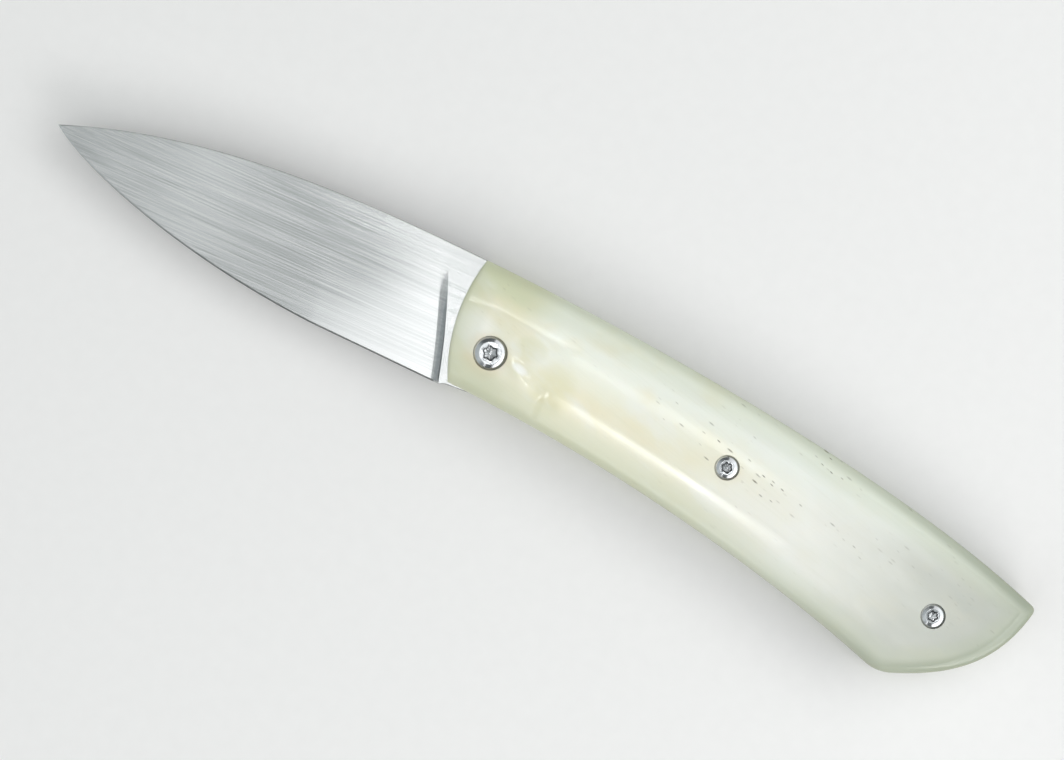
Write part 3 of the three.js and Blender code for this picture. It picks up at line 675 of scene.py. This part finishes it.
def blade_shell():
    """The blade, and how much painted shade each point of its hollow has."""
    ribs = [
        rib(HEEL[0] - PLUNGE_RADIUS * out, PLUNGE_TOP_X - PLUNGE_TOP_RADIUS * out, out, 0)
        for out in (1 - np.cos(np.linspace(0, math.pi / 2, HOLLOW_RIBS + 1)))
    ]
    for out in np.linspace(0, 1, GRIND_RIBS + 1)[1:-1]:
        low_x, high_x = (
            start + (TIP[0] - start) * out
            for start in (HEEL[0] - PLUNGE_RADIUS, PLUNGE_TOP_X - PLUNGE_TOP_RADIUS))
        ribs.append(rib(low_x, high_x, 1, out))
    shell = Shell()
    edge = shell.add(np.array([low for low, *_ in ribs]), 0)
    shades = {}
    tip = shell.add([TIP], 0)[0]
    path = tang_path()
    loop = np.vstack([path, ribs[0][1][:1]])
    inset = offset(loop[::-1], TANG_CHAMFER)[::-1]
    hole = circle(BUSHING_RADIUS + FIT_GAP)
    walls, hole_walls = [], []
    for side in (1, -1):
        rows = [shell.add(at, side * half) for _, at, half, _ in ribs]
        for row, (*_, shade) in zip(rows, ribs):
            shades.update(zip(row, shade))
        columns = [[row[i] for row in rows] + [tip] for i in range(RIB_STEPS + 1)]
        shell.strip(edge + [tip], columns[0])
        for one, other in zip(columns, columns[1:]):
            shell.strip(one, other)
        # The tang: its flat joins the first rib, and its bevel the spine and the heel.
        plunge = rows[0]
        heel_inset = path[-1] + (ribs[0][1][0] - path[-1]) * TANG_CHAMFER / EDGE_BEVEL_HEIGHT
        flat = [plunge[-2]] + shell.add(inset[1 : len(path) - 1], side * BLADE_HALF)
        flat += shell.add([heel_inset], side * BLADE_HALF)
        wall = [plunge[-1]] + shell.add(path[1:], side * (BLADE_HALF - TANG_CHAMFER))
        shell.strip(flat, wall)
        shell.face(edge[0], wall[-1], flat[-1], plunge[0])
        outer = flat + plunge[:-2]
        hole_flat = shell.add(offset(hole, -TANG_CHAMFER), side * BLADE_HALF)
        hole_wall = shell.add(hole, side * (BLADE_HALF - TANG_CHAMFER))
        shell.bridge(hole_flat, hole_wall)
        shell.cap([outer, hole_flat])
        walls.append([tip] + columns[-1][-2::-1] + wall[1:])
        hole_walls.append(hole_wall)
    shell.strip(*walls)
    shell.face(edge[0], walls[0][-1], walls[1][-1])
    shell.bridge(*hole_walls)
    return shell, [shades.get(i, 0) for i in range(len(shell.points))]


# Backspring, liners and scales


def spring_outline():
    seat_y = TANG_FLAT_HEIGHT + SPRING_SEAT_GAP
    front = TANG_STEP_X + SPRING_END_GAP
    seat_end = turned([closed_flat_end()], CLOSED_ANGLE)[0][0] - SPRING_HEEL_GAP
    flex_start = seat_end + SPRING_RELIEF_RUN
    flex_end = SPRING_PIN_AT[0] - SPRING_SHOULDER
    flex = points_at(back_edge, spaced(flex_start, flex_end, OUTLINE_STEP))
    flex = flex - [0, SPRING_FLEX_DEPTH]
    seat_corner = np.array([seat_end, seat_y])
    relief = corner_between(
        seat_corner, np.array([seat_end + SPRING_RELIEF_RUN / 4, flex[0][1]]), flex[0])
    rear = points_at(
        cutting_edge, spaced(SPRING_BOSS - SPRING_PIN_AT[0], TIP[0], OUTLINE_STEP))
    rear = turned(rear, CLOSED_ANGLE) + [0, CLOSED_EDGE_GAP]
    bend = (flex[-1][0] + rear[0][0]) / 2
    shoulder = cubic(
        flex[-1], np.array([bend, flex[-1][1]]), np.array([bend, rear[0][1]]), rear[0],
        np.linspace(0, 1, SPRING_BEND_STEPS)[1:-1, None])
    clear = TIP_SWING + CLOSED_TIP_GAP
    # The handle's outline from where the point's path leaves it, round the tail, to the
    # spring's front end.
    reach = np.hypot(*outline.T)
    start = next(i for i in range(len(outline)) if reach[i] > clear)
    share = (clear - reach[start - 1]) / (reach[start] - reach[start - 1])
    leave = outline[start - 1] + (outline[start] - outline[start - 1]) * share
    end = next(i for i in range(start, len(outline)) if outline[i][0] < front + OUTLINE_STEP)
    angles = np.linspace(
        math.radians(CLOSED_ANGLE - 180), math.atan2(leave[1], leave[0]), SPRING_PATH_STEPS)
    return np.vstack([
        [leave], outline[start:end], points_at(back_edge, [front]), [[front, seat_y]],
        [seat_corner], relief, flex, shoulder, rear, polar(clear, angles[:-1]),
    ])


def scale_shell():
    """The left scale: its face, its sides and its screw holes with their head seats."""
    shell = Shell()
    rim = offset(outline, BONE_CHAMFER)
    rows = [
        shell.add(rim, scale_height(rim)),
        shell.add(outline, scale_height(outline) - BONE_CHAMFER),
        shell.add(outline, LINER_HIGH + BONE_CHAMFER),
        shell.add(rim, LINER_HIGH),
    ]
    shell.stack(rows)
    face_rings, under_rings = [rows[0]], [rows[-1]]
    us, vs = (
        np.concatenate([np.linspace(*run) for run in runs])
        for runs in (FACE_COLUMNS, FACE_ROWS))
    grid = side_point(*(a.ravel() for a in np.meshgrid(us, np.unique(vs.round(5)))))
    clear = inside(grid, offset(rim, FACE_RIM_GAP))
    for role, at, head_height, _, _, shank in SCREWS:
        cad = f"{role}_screw_left"
        seat = heights(cad)[1] - head_height
        mouth_radius = radius(cad) + HEAD_SIDE_GAP
        lip_radius = mouth_radius + RIM_CHAMFER
        clear &= np.hypot(*(grid - at).T) > lip_radius + FACE_HOLE_GAP
        lip, mouth, bore = (
            circle(r, at) for r in (lip_radius, mouth_radius, shank + SHANK_GAP))
        rows = [
            shell.add(lip, scale_height(lip)),
            shell.add(mouth, scale_height(mouth) - RIM_CHAMFER),
            shell.add(mouth, seat),
            shell.add(bore, seat),
            shell.add(bore, LINER_HIGH),
        ]
        shell.stack(rows)
        face_rings.append(rows[0])
        under_rings.append(rows[-1])
    grid = grid[clear]
    shell.cap(face_rings, shell.add(grid, scale_height(grid)))
    shell.cap(under_rings)
    return shell


def screw_shell(cad, at, head_height, drive_radius, flat_share, shank_radius, side):
    """A button-head screw with a six-lobed socket, from its outer end to its inner end,
    and how much painted shade each point has, darkest on the socket's walls."""
    low, high = heights(cad)
    top, end = (high, low) if side > 0 else (-low, -high)
    seat, floor = top - head_height, top - DRIVE_DEPTH
    head_radius = radius(cad)
    lobes = 1 - LOBE_DEPTH + LOBE_DEPTH * np.cos(LOBES * ROUND_ANGLES)
    socket = drive_radius * lobes
    lip = drive_radius * (1 - LIP_LOBE_SHARE + LIP_LOBE_SHARE * lobes) + LIP_WIDTH
    flat = flat_share * head_radius
    # Each ring's radius, height and shade
    rings = [
        (FLOOR_RINGS[0] * drive_radius * lobes**FLOOR_LOBE_POWER,
         floor - FLOOR_DISH[1] * drive_radius, FLOOR_SHADES[1]),
        (FLOOR_RINGS[1] * socket, floor, FLOOR_SHADES[2]),
        (WALL_RINGS[0] * socket, floor + FLOOR_ROUNDING, WALL_SHADE),
        (WALL_RINGS[1] * socket, top - WALL_TOP, WALL_SHADE),
        (socket, top - MOUTH_RINGS[0], WALL_SHADE),
        (socket + MOUTH_WIDENING, top - MOUTH_RINGS[1], LIP_SHADE),
        (lip, top, 0),
        (flat - FLAT_MARGIN, top, 0),
    ]
    first = np.array([flat, top])
    last = np.array([head_radius, seat + DOME_FOOT_SHARE * head_height])
    shoulder = first + (head_radius - flat) * DOME_SHOULDER_SHARE * np.array(
        [1, -math.tan(math.radians(DOME_START_ANGLE))])
    for t in np.linspace(0, 1, DOME_STEPS):
        shade = DOME_SHADE * smooth(*DOME_SHADE_SPAN, t)
        rings.append((*quadratic(first, shoulder, last, t), shade))
    rings += [
        (head_radius, seat + HEAD_CHAMFER, WALL_SHADE),
        (head_radius - HEAD_CHAMFER, seat, WALL_SHADE),
        (shank_radius, seat, SHANK_SHADE),
        (shank_radius, end + SHANK_CHAMFER_SHARE * shank_radius, END_SHADE),
        ((1 - SHANK_CHAMFER_SHARE) * shank_radius, end, END_SHADE),
    ]
    shell = Shell()
    rows = [shell.add([at], floor - FLOOR_DISH[0] * drive_radius) * ROUND]
    shades = [FLOOR_SHADES[0]]
    for ring_radius, z, shade in rings:
        rows.append(shell.add(circle(ring_radius, at), z))
        shades += [shade] * ROUND
    rows.append(shell.add([at], end) * ROUND)
    shades.append(END_SHADE)
    shell.stack(rows)
    return shell if side > 0 else shell.mirrored(), shades


# Materials


def tree_of(name):
    material = bpy.data.materials.new(name)
    material.use_nodes = True
    material.node_tree.nodes.clear()
    return material, material.node_tree


def node(tree, kind, *wires, **settings):
    """A shader node. Each wire is (input, value or another node's output)."""
    made = tree.nodes.new("ShaderNode" + kind)
    for key, value in settings.items():
        setattr(made, key, value)
    for key, value in wires:
        if isinstance(value, bpy.types.NodeSocket):
            tree.links.new(value, made.inputs[key])
        else:
            made.inputs[key].default_value = value
    return made


def rgb(red, green, blue):
    """A colour as it is seen, from 0 to 255, for a node."""

    def linear(part):
        part /= 255
        return part / 12.92 if part <= 0.04045 else ((part + 0.055) / 1.055) ** 2.4

    return (linear(red), linear(green), linear(blue), 1)


# Greys of a scratch, of the painted shade in the plunge line's hollow and of the painted shade
# on the screws' sockets and domes
SCRATCH_GREY, HOLLOW_SHADE_GREY, TURNED_SHADE_GREY = rgb(110, 114, 116), rgb(106, 112, 118), rgb(96, 98, 98)
NOISE_SPAN = (0.3, 0.7)  # where most of a noise lies
SCRATCH_AMOUNT, HOLLOW_SHADE_AMOUNT, TURNED_SHADE_AMOUNT = 0.25, 0.6, 0.9
# Stretch and detail of the steel's fine lines, broad streaks, clouds and scratches
BRUSH_NOISES = (
    ((40, 0.2, 0.2), 1), ((60, 0.7, 0.7), 2), ((30, 9, 9), 2), ((24, 0.2, 0.2), 0))
FINE_SHARE, STREAK_SHARE = 0.85, 0.15
SCRATCH_SPAN = (0.73, 0.8)  # of the noise: the rest of the steel has none
BRUSH_DEPTH = 0.0003
BLADE_GRAIN, LINER_GRAIN, SPRING_GRAIN = 2.5, -4, -8  # headings of the brush lines
# The colour along the handle, from creamy at the front to cooler and darker at the tail
BONE_RUN, BONE_DRIFT = (-15, 85), 26  # in the frame's x, and how far clouds shift it
BONE_STOPS = (
    (0.0, rgb(230, 227, 203)), (0.2, rgb(236, 232, 208)), (0.4, rgb(233, 230, 210)),
    (0.6, rgb(236, 235, 227)), (0.72, rgb(224, 224, 216)), (0.84, rgb(207, 208, 200)),
    (1.0, rgb(184, 187, 178)))
# Soft patches on it: place and reach in millimetres, turn, amount and colour. Some are painted
# highlights and painted shade, as marked
BONE_PATCHES = (
    # Partly a painted highlight: whiter above and before the pivot
    ((-4.2, 2.9), (4.5, 3.6), 0, 0.7, rgb(248, 248, 243)),
    ((-0.6, -0.7), (4.6, 4.4), 0, 0.4, rgb(216, 186, 142)),
    # Partly the bone's warmer tone and partly painted shade, right of the pivot: this patch and
    # the next
    ((5.6, 3.4), (3.4, 2.4), 0, 0.6, rgb(216, 213, 172)),
    ((11.5, -1.0), (4.5, 5.5), 0, 0.55, rgb(218, 213, 170)),
    ((-1.0, -4.6), (6.5, 3.2), 0, 0.4, rgb(206, 208, 180)),
    # Painted highlight: the gleam on the swell beside the pivot screw, this patch and the next
    ((3.4, 2.6), (2.4, 1.2), -62, 0.25, rgb(246, 246, 240)),
    ((5.3, -0.2), (1.9, 0.9), -14, 0.8, rgb(253, 253, 250)),
    (CENTRE_SCREW_AT, (3.6, 3.2), 0, 0.35, rgb(226, 216, 184)),
    ((11.5, -2.4), (3.0, 1.8), -20, 0.4, rgb(206, 200, 164)),
)
FRONT_GREEN, BACK_WHITE, WARM_CLOUD = rgb(214, 217, 180), rgb(240, 244, 236), rgb(232, 221, 186)
TAIL_PALE, FIBRE_TONE, EDGE_SHADE_TONE = rgb(237, 238, 232), rgb(206, 205, 182), rgb(188, 195, 168)
TAIL_SHADOW, RIM_SHADE_TONE, PORE_BROWN = rgb(128, 136, 118), rgb(128, 124, 98), rgb(88, 80, 60)
FRONT_AMOUNT, PORE_AMOUNT = 0.75, 0.8
# Two layers of pores: heading, stretch and the share of cells that have none
PORE_LAYERS = ((-14, (2.8, 0.7, 0.7), 0.62), (-18, (1.8, 0.5, 0.5), 0.74))


def turned_coordinates(tree, angle, stretch):
    """The piece's own coordinates in millimetres, turned and stretched for a grain."""
    turn = node(
        tree, "Mapping", ("Vector", node(tree, "TexCoord").outputs["Object"]),
        ("Rotation", (0, 0, math.radians(-angle))))
    return node(
        tree, "Mapping", ("Vector", turn.outputs[0]),
        ("Scale", tuple(1 / (MM * part) for part in stretch)),
    ).outputs[0]


def noise(tree, angle, stretch, detail=2):
    return node(
        tree, "TexNoise", ("Vector", turned_coordinates(tree, angle, stretch)),
        ("Scale", 1), ("Detail", detail)).outputs["Fac"]


def spread(tree, value, low, high, new_low=0, new_high=1, steps="LINEAR"):
    return node(
        tree, "MapRange", ("Value", value), ("From Min", low), ("From Max", high),
        ("To Min", new_low), ("To Max", new_high),
        interpolation_type=steps).outputs["Result"]


def ease(tree, value, low, high, new_low=0, new_high=1):
    return spread(tree, value, low, high, new_low, new_high, "SMOOTHSTEP")


def calc(tree, operation, *values):
    return node(tree, "Math", *enumerate(values), operation=operation).outputs[0]


def times(tree, first, *others):
    for other in others:
        first = calc(tree, "MULTIPLY", first, other)
    return first


def mixed(tree, factor, one, other):
    wires = zip((0, 6, 7), (factor, one, other))  # the sockets that mix colours
    return node(tree, "Mix", *wires, data_type="RGBA").outputs[2]


def finish_with(tree, bump=None, **sockets):
    """The shader and its output. The bump is a height and its distance in millimetres."""
    names = {
        "color": "Base Color", "roughness": "Roughness", "metallic": "Metallic",
        "anisotropic": "Anisotropic", "tangent": "Tangent", "ior": "IOR",
        "subsurface": "Subsurface Weight", "subsurface_radius": "Subsurface Radius",
        "subsurface_scale": "Subsurface Scale",
    }
    shader = node(tree, "BsdfPrincipled", *((names[k], v) for k, v in sockets.items()))
    if bump:
        height, distance = bump
        relief = node(tree, "Bump", ("Height", height), ("Distance", distance * MM))
        tree.links.new(relief.outputs[0], shader.inputs["Normal"])
    out = node(tree, "OutputMaterial")
    tree.links.new(shader.outputs[0], out.inputs[0])


# How much painted shade each point of a piece has
def unpolished(tree):
    return node(tree, "Attribute", attribute_name="unpolished").outputs["Fac"]


def brushed_steel(name, light, dark, roughness, grain_angle, contrast=1.0, anisotropy=0.5):
    """Steel with fine lines along a heading, broader streaks and a few scratches."""
    material, tree = tree_of(name)
    fine, broad, cloud, scratch = (
        noise(tree, grain_angle, stretch, detail) for stretch, detail in BRUSH_NOISES)
    scratch = spread(tree, scratch, *SCRATCH_SPAN)
    lines = calc(tree, "ADD", times(tree, fine, FINE_SHARE), times(tree, broad, STREAK_SHARE))
    shade = spread(tree, lines, 0.5 - 0.2 / contrast, 0.5 + 0.2 / contrast)
    color = mixed(tree, shade, dark, light)
    color = mixed(tree, times(tree, scratch, SCRATCH_AMOUNT * contrast), color, SCRATCH_GREY)
    # Painted shade in the plunge line's hollow
    color = mixed(tree, times(tree, unpolished(tree), HOLLOW_SHADE_AMOUNT), color, HOLLOW_SHADE_GREY)
    rough = calc(tree, "ADD", times(tree, fine, 0.5), times(tree, cloud, 0.5))
    rough = spread(tree, rough, *NOISE_SPAN, roughness - 0.05, roughness + 0.07)
    height = calc(tree, "SUBTRACT", fine, times(tree, scratch, 0.6))
    across = node(tree, "Tangent", direction_type="UV_MAP", uv_map="grain").outputs[0]
    finish_with(tree, (height, BRUSH_DEPTH), color=color, metallic=1.0, roughness=rough,
                anisotropic=anisotropy, tangent=across)
    return material


def turned_metal(name, light, dark, roughness):
    """Polished metal with the faint rings and smears of turning and handling, and the
    painted shade that a piece carries, which also makes it rougher.
    """
    material, tree = tree_of(name)
    fine = noise(tree, 30, (1.4, 0.3, 0.3))
    cloud = noise(tree, 0, (2.2, 2.2, 2.2))
    color = mixed(tree, spread(tree, cloud, *NOISE_SPAN), dark, light)
    # Painted shade on the screws' socket walls and domes; it also makes them rougher
    shade_and_matte = unpolished(tree)
    color = mixed(tree, times(tree, shade_and_matte, TURNED_SHADE_AMOUNT), color, TURNED_SHADE_GREY)
    rough = spread(tree, fine, *NOISE_SPAN, roughness - 0.03, roughness + 0.05)
    rough = calc(tree, "ADD", rough, times(tree, shade_and_matte, 0.08))
    finish_with(tree, color=color, metallic=1.0, roughness=rough)
    return material


def bone(name):
    """Polished bone: creamy at the front, ivory along the middle and cooler and darker at the
    tail, with clouds, a faint grain and dark pores. Painted shade darkens it where its edges
    roll away, with a painted shadow at the tail and a dark rim, and painted highlights lie
    beside the pivot screw. Its x and y are the frame's, in millimetres."""
    material, tree = tree_of(name)
    own = node(tree, "TexCoord").outputs["Object"]
    split = node(tree, "SeparateXYZ", ("Vector", own))
    x, y = (calc(tree, "DIVIDE", split.outputs[i], MM) for i in (0, 1))
    cloud = noise(tree, -10, (20, 7, 7), 3)
    far = calc(tree, "ADD", x, times(tree, calc(tree, "SUBTRACT", cloud, 0.5), BONE_DRIFT))
    ramp = node(tree, "ValToRGB", ("Fac", spread(tree, far, *BONE_RUN)))
    elements = ramp.color_ramp.elements
    while len(elements) < len(BONE_STOPS):
        elements.new(0.5)
    for element, (position, color) in zip(elements, BONE_STOPS):
        element.position = position
        element.color = color
    color = ramp.outputs["Color"]

    # Greener at the front end's back, whiter along the back, and warm clouds to the middle
    green = times(tree, ease(tree, y, 8, 13), ease(tree, x, -9, 2, 1, 0), FRONT_AMOUNT)
    color = mixed(tree, green, color, FRONT_GREEN)
    cool = times(tree, ease(tree, y, 1.5, 9.5), ease(tree, x, -8, 0), FRONT_AMOUNT)
    color = mixed(tree, cool, color, BACK_WHITE)
    warm = ease(tree, noise(tree, 5, (8, 5, 5)), 0.45, 0.75, 0, 0.4)
    warm = times(tree, warm, ease(tree, x, 18, 40, 1, 0.25))
    color = mixed(tree, warm, color, WARM_CLOUD)
    # Soft patches, among them painted highlights and painted shade beside the pivot
    for *patch, tone in BONE_PATCHES:
        color = mixed(tree, patch_at(tree, own, *patch), color, tone)
    # Pale clouds that thin towards the tail, and the grain's fibres
    pale = ease(tree, noise(tree, -20, (9, 4, 4), 3), 0.48, 0.75, 0, 0.5)
    pale = times(tree, pale, ease(tree, x, 45, 70, 1, 0.15))
    color = mixed(tree, pale, color, TAIL_PALE)
    fibre = noise(tree, -13, (12, 0.4, 0.4), 3)
    color = mixed(tree, spread(tree, fibre, 0.5, 0.8, 0, 0.12), color, FIBRE_TONE)

    # Painted shade where the edges roll away: a broad band, a narrower painted shadow at the
    # tail and a thin dark rim
    gap = node(tree, "Attribute", attribute_name="edge_gap").outputs["Fac"]
    edge_shade = calc(tree, "ADD", ease(tree, gap, 3.4, 5.2, 0.22, 0), ease(tree, gap, 0, 4, 0.35, 0))
    color = mixed(tree, edge_shade, color, EDGE_SHADE_TONE)
    tail_shade = times(tree, ease(tree, gap, 0.9, 2.6, 0.52, 0), ease(tree, x, 30, 100),
                 ease(tree, y, -8, 2, 1, 1.2))
    color = mixed(tree, tail_shade, color, TAIL_SHADOW)
    rim = times(tree, ease(tree, gap, 0, 0.45, 0.2, 0), ease(tree, x, 0, 30, 0.2, 1))
    color = mixed(tree, rim, color, RIM_SHADE_TONE)

    spot = pores(tree, x, y)
    color = mixed(tree, times(tree, spot, PORE_AMOUNT), color, PORE_BROWN)
    rough = spread(tree, cloud, *NOISE_SPAN, 0.1, 0.15)
    height = calc(tree, "SUBTRACT", times(tree, fibre, 0.15), spot)
    finish_with(tree, (height, 0.02), color=color, roughness=rough, ior=1.54,
                subsurface=0.12, subsurface_radius=(1.0, 0.8, 0.55), subsurface_scale=0.0012)
    return material


def patch_at(tree, own, at, reach, turn, amount):
    """How much of a soft oval patch, turned by an angle, there is at each place."""
    middle = [*((np.array(at) + PIVOT[:2]) * MM), 0]
    placed = node(
        tree, "Mapping", ("Vector", own), ("Location", middle),
        ("Rotation", (0, 0, math.radians(turn))), ("Scale", [*(np.array(reach) * MM), 1]),
        vector_type="TEXTURE").outputs[0]
    x, y, _ = node(tree, "SeparateXYZ", ("Vector", placed)).outputs
    squares = calc(tree, "ADD", times(tree, x, x), times(tree, y, y))
    return ease(tree, squares, 0, 1, amount, 0)


def pores(tree, x, y):
    """Where the bone's grain is cut open in short dark dashes, most of them in the upper
    middle of the handle and some towards its tail."""
    layers = []
    for angle, stretch, share in PORE_LAYERS:
        cells = node(tree, "TexVoronoi", ("Vector", turned_coordinates(tree, angle, stretch)),
                     ("Scale", 1))
        keep, faint, _ = node(
            tree, "SeparateColor", ("Color", cells.outputs["Color"])).outputs
        layers.append(times(
            tree, spread(tree, cells.outputs["Distance"], 0.1, 0.25, 1, 0),
            spread(tree, keep, share, share + 0.08), spread(tree, faint, 0.1, 0.9, 0.25, 1)))
    group = spread(tree, noise(tree, -12, (20, 5, 5), 1), 0.42, 0.52)
    upper = calc(tree, "ADD", y, times(tree, x, 0.12))
    place = times(tree, spread(tree, upper, 1, 7, 0.08, 1), spread(tree, x, 5, 22, 0.15, 1),
                  spread(tree, x, 48, 60, 1, 0.35))
    return times(tree, calc(tree, "MAXIMUM", *layers), times(tree, group, place))


def surface(name):
    material, tree = tree_of(name)
    grain = noise(tree, 0, (2.5, 2.5, 2.5), 4)
    color = mixed(tree, grain, rgb(238, 236, 235), rgb(242, 240, 239))
    finish_with(tree, (grain, 0.02), color=color, roughness=0.7)
    return material


materials = {
    "blade_steel": brushed_steel(
        "satin_blade_steel", rgb(215, 216, 216), rgb(187, 189, 189), 0.2, BLADE_GRAIN,
        anisotropy=0.88),
    "liner_steel": brushed_steel(
        "brushed_liner_steel", rgb(196, 198, 199), rgb(166, 170, 172), 0.28, LINER_GRAIN, 0.8),
    "spring_steel": brushed_steel(
        "polished_spring_steel", rgb(202, 205, 206), rgb(174, 178, 180), 0.22, SPRING_GRAIN,
        0.7),
    "screw_steel": turned_metal(
        "polished_screw_steel", rgb(214, 216, 218), rgb(192, 194, 197), 0.14),
    "bronze": turned_metal("turned_bronze", rgb(196, 158, 100), rgb(170, 130, 78), 0.3),
    "bone": bone("polished_bone"),
}


# Pieces


def make_side(side, word):
    """One side's liner, scale, screws and washer. Liner and scale are made on the left."""
    liner = plate(outline, liner_holes, LINER_LOW, LINER_HIGH)
    scale = scale_shell()
    places = np.array(scale.points)
    # How far each point lies from the edge, which sets the painted edge shade
    gap = distance_to(places[:, :2], outline)
    gap += np.maximum(scale_height(places[:, :2]) - places[:, 2], 0) * WALL_FADE
    if side < 0:
        liner, scale = liner.mirrored(), scale.mirrored()
    make_piece(f"liner_{word}", "plate", liner, "liner_steel", grain=LINER_GRAIN)
    make_piece(f"scale_{word}", "bone", scale, "bone", edge_gap=gap)
    for role, at, *sizes in SCREWS:
        cad = f"{role}_screw_{word}"
        shell, shades = screw_shell(cad, at, *sizes, side)
        make_piece(cad, "button", shell, "screw_steel", SCREW_SHARP_ANGLE, unpolished=shades)
    cad = f"pivot_washer_{word}"
    disc = tube(radius(cad), BUSHING_RADIUS + WASHER_GAP, *heights(cad), chamfer=WASHER_CHAMFER)
    make_piece(cad, "disc", disc, "bronze")


shell, shades = blade_shell()
make_piece(
    "blade", "ground", shell, "blade_steel", BLADE_SHARP_ANGLE, BLADE_GRAIN, unpolished=shades)

spring_holes = [circle(PIN_RADIUS + PRESS_GAP, SPRING_PIN_AT),
                circle(TAIL_BARREL_RADIUS + PRESS_GAP, TAIL_SCREW_AT)]
make_piece("backspring", "bar", plate(spring_outline(), spring_holes, -LINER_LOW, LINER_LOW),
           "spring_steel", grain=SPRING_GRAIN)

liner_holes = [circle(BARREL_RADIUS + PRESS_GAP),
               circle(SMALL_SHANK_RADIUS + FIT_GAP, CENTRE_SCREW_AT), *spring_holes]
make_side(1, "left")
make_side(-1, "right")

for cad, word, outer, bore, at, slot in (
    ("pivot_barrel", "tube", BARREL_RADIUS, PIVOT_SHANK_RADIUS, PIVOT_AT, "screw_steel"),
    ("pivot_bushing", "sleeve", BUSHING_RADIUS, BARREL_RADIUS, PIVOT_AT, "bronze"),
    ("tail_barrel", "tube", TAIL_BARREL_RADIUS, SMALL_SHANK_RADIUS, TAIL_SCREW_AT,
     "screw_steel"),
):
    make_piece(cad, word, tube(outer, bore + FIT_GAP, *heights(cad), at), slot)

low, high = heights("spring_pin")
inset = PIN_RADIUS - PLATE_CHAMFER
rod = lathe([(0, high), (inset, high), (PIN_RADIUS, high - PLATE_CHAMFER),
             (PIN_RADIUS, low + PLATE_CHAMFER), (inset, low), (0, low)], SPRING_PIN_AT)
make_piece("spring_pin", "rod", rod, "screw_steel")


# Stage: a pale floor, a camera straight above, soft lamps and the light of the room

STAGE_SIZE = 6.0
CAMERA_AT = np.array([7.85, -0.89])
CAMERA_TURN = math.radians(26.294)
CAMERA_DISTANCE = 0.9
PHOTO_WIDTH = 170.24 * MM  # at the height of the camera's aim
AIM_HEIGHT = 9 * MM
SENSOR_WIDTH = 36
NEAREST = 0.01
# Rectangles that face down: name, place, size, and how bright they are in a mirror. From
# heel to tip the blade mirrors the blade box, the dim panel, the tip box and the tip
# panel. Three large boxes light handle and floor from the tail's side. Each strip draws a
# bright line on the handle, and the land panel brightens its land.
LAMPS = (
    ("blade_box", (-0.0225, -0.37, 0.75), (0.085, 0.8), 1.53),
    ("near_box", (1.15, -0.75, 0.75), (1.1, 0.8), 3.1),
    ("high_box", (0.62, 0.6, 0.75), (1.37, 0.7), 0.9),
    ("far_box", (0.95, -0.1, 0.75), (1.1, 1.5), 2.05),
    ("dim_panel", (-0.0875, -0.1, 0.75), (0.045, 1.0), 0.03),
    ("tip_box", (-0.1275, -0.1, 0.75), (0.035, 1.0), 0.55),
    ("tip_panel", (-0.295, -0.1, 0.75), (0.3, 1.0), 0.22),
    ("belly_strip", (0.0355, -0.125, 0.9), (0.053, 0.022), 22.0),
    ("back_strip", (0.05, 0.065, 0.9), (0.08, 0.04), 5.0),
    ("front_strip", (-0.12, 0.13, 0.9), (0.22, 0.012), 17.0),
    ("land_panel", (0.095, -0.003, 0.75), (0.13, 0.045), 0.8),
)
ROOM_COLOR = (0.93, 1.0, 1.0, 1)
ROOM_STRENGTHS = (0.16, 0.7)
ROOM_BLEND = 0.3


def room():
    """A world that is bright at the picture's left and right and dark above and below."""
    world = bpy.data.worlds.new("studio")
    bpy.context.scene.world = world
    world.use_nodes = True
    tree = world.node_tree
    background = tree.nodes["Background"]
    background.inputs["Color"].default_value = ROOM_COLOR
    way = node(tree, "Mapping", ("Vector", node(tree, "TexCoord").outputs["Generated"]),
               ("Rotation", (0, 0, -CAMERA_TURN))).outputs[0]
    along, across, _ = node(tree, "SeparateXYZ", ("Vector", way)).outputs
    sides = calc(tree, "SUBTRACT", times(tree, along, along), times(tree, across, across))
    strength = ease(tree, sides, -ROOM_BLEND, ROOM_BLEND, *ROOM_STRENGTHS)
    tree.links.new(strength, background.inputs["Strength"])


bpy.ops.mesh.primitive_plane_add(size=STAGE_SIZE)
floor = bpy.context.object
floor.name = "pale_floor"
floor.data.materials.append(surface("pale_surface"))

lens = bpy.data.cameras.new("camera")
lens.sensor_width = SENSOR_WIDTH
lens.lens = SENSOR_WIDTH * CAMERA_DISTANCE / PHOTO_WIDTH
lens.clip_start = NEAREST
camera = bpy.data.objects.new("camera", lens)
camera.location = (*((CAMERA_AT + PIVOT[:2]) * MM), CAMERA_DISTANCE + AIM_HEIGHT)
camera.rotation_euler = (0, 0, CAMERA_TURN)
bpy.context.scene.collection.objects.link(camera)
bpy.context.scene.camera = camera

for name, at, size, radiance in LAMPS:
    light = bpy.data.lights.new(name, "AREA")
    light.shape = "RECTANGLE"
    light.size, light.size_y = size
    light.energy = radiance * math.pi * size[0] * size[1]
    lamp = bpy.data.objects.new(name, light)
    lamp.location = at
    bpy.context.scene.collection.objects.link(lamp)

room()
bpy.context.scene.view_settings.view_transform = "Standard"
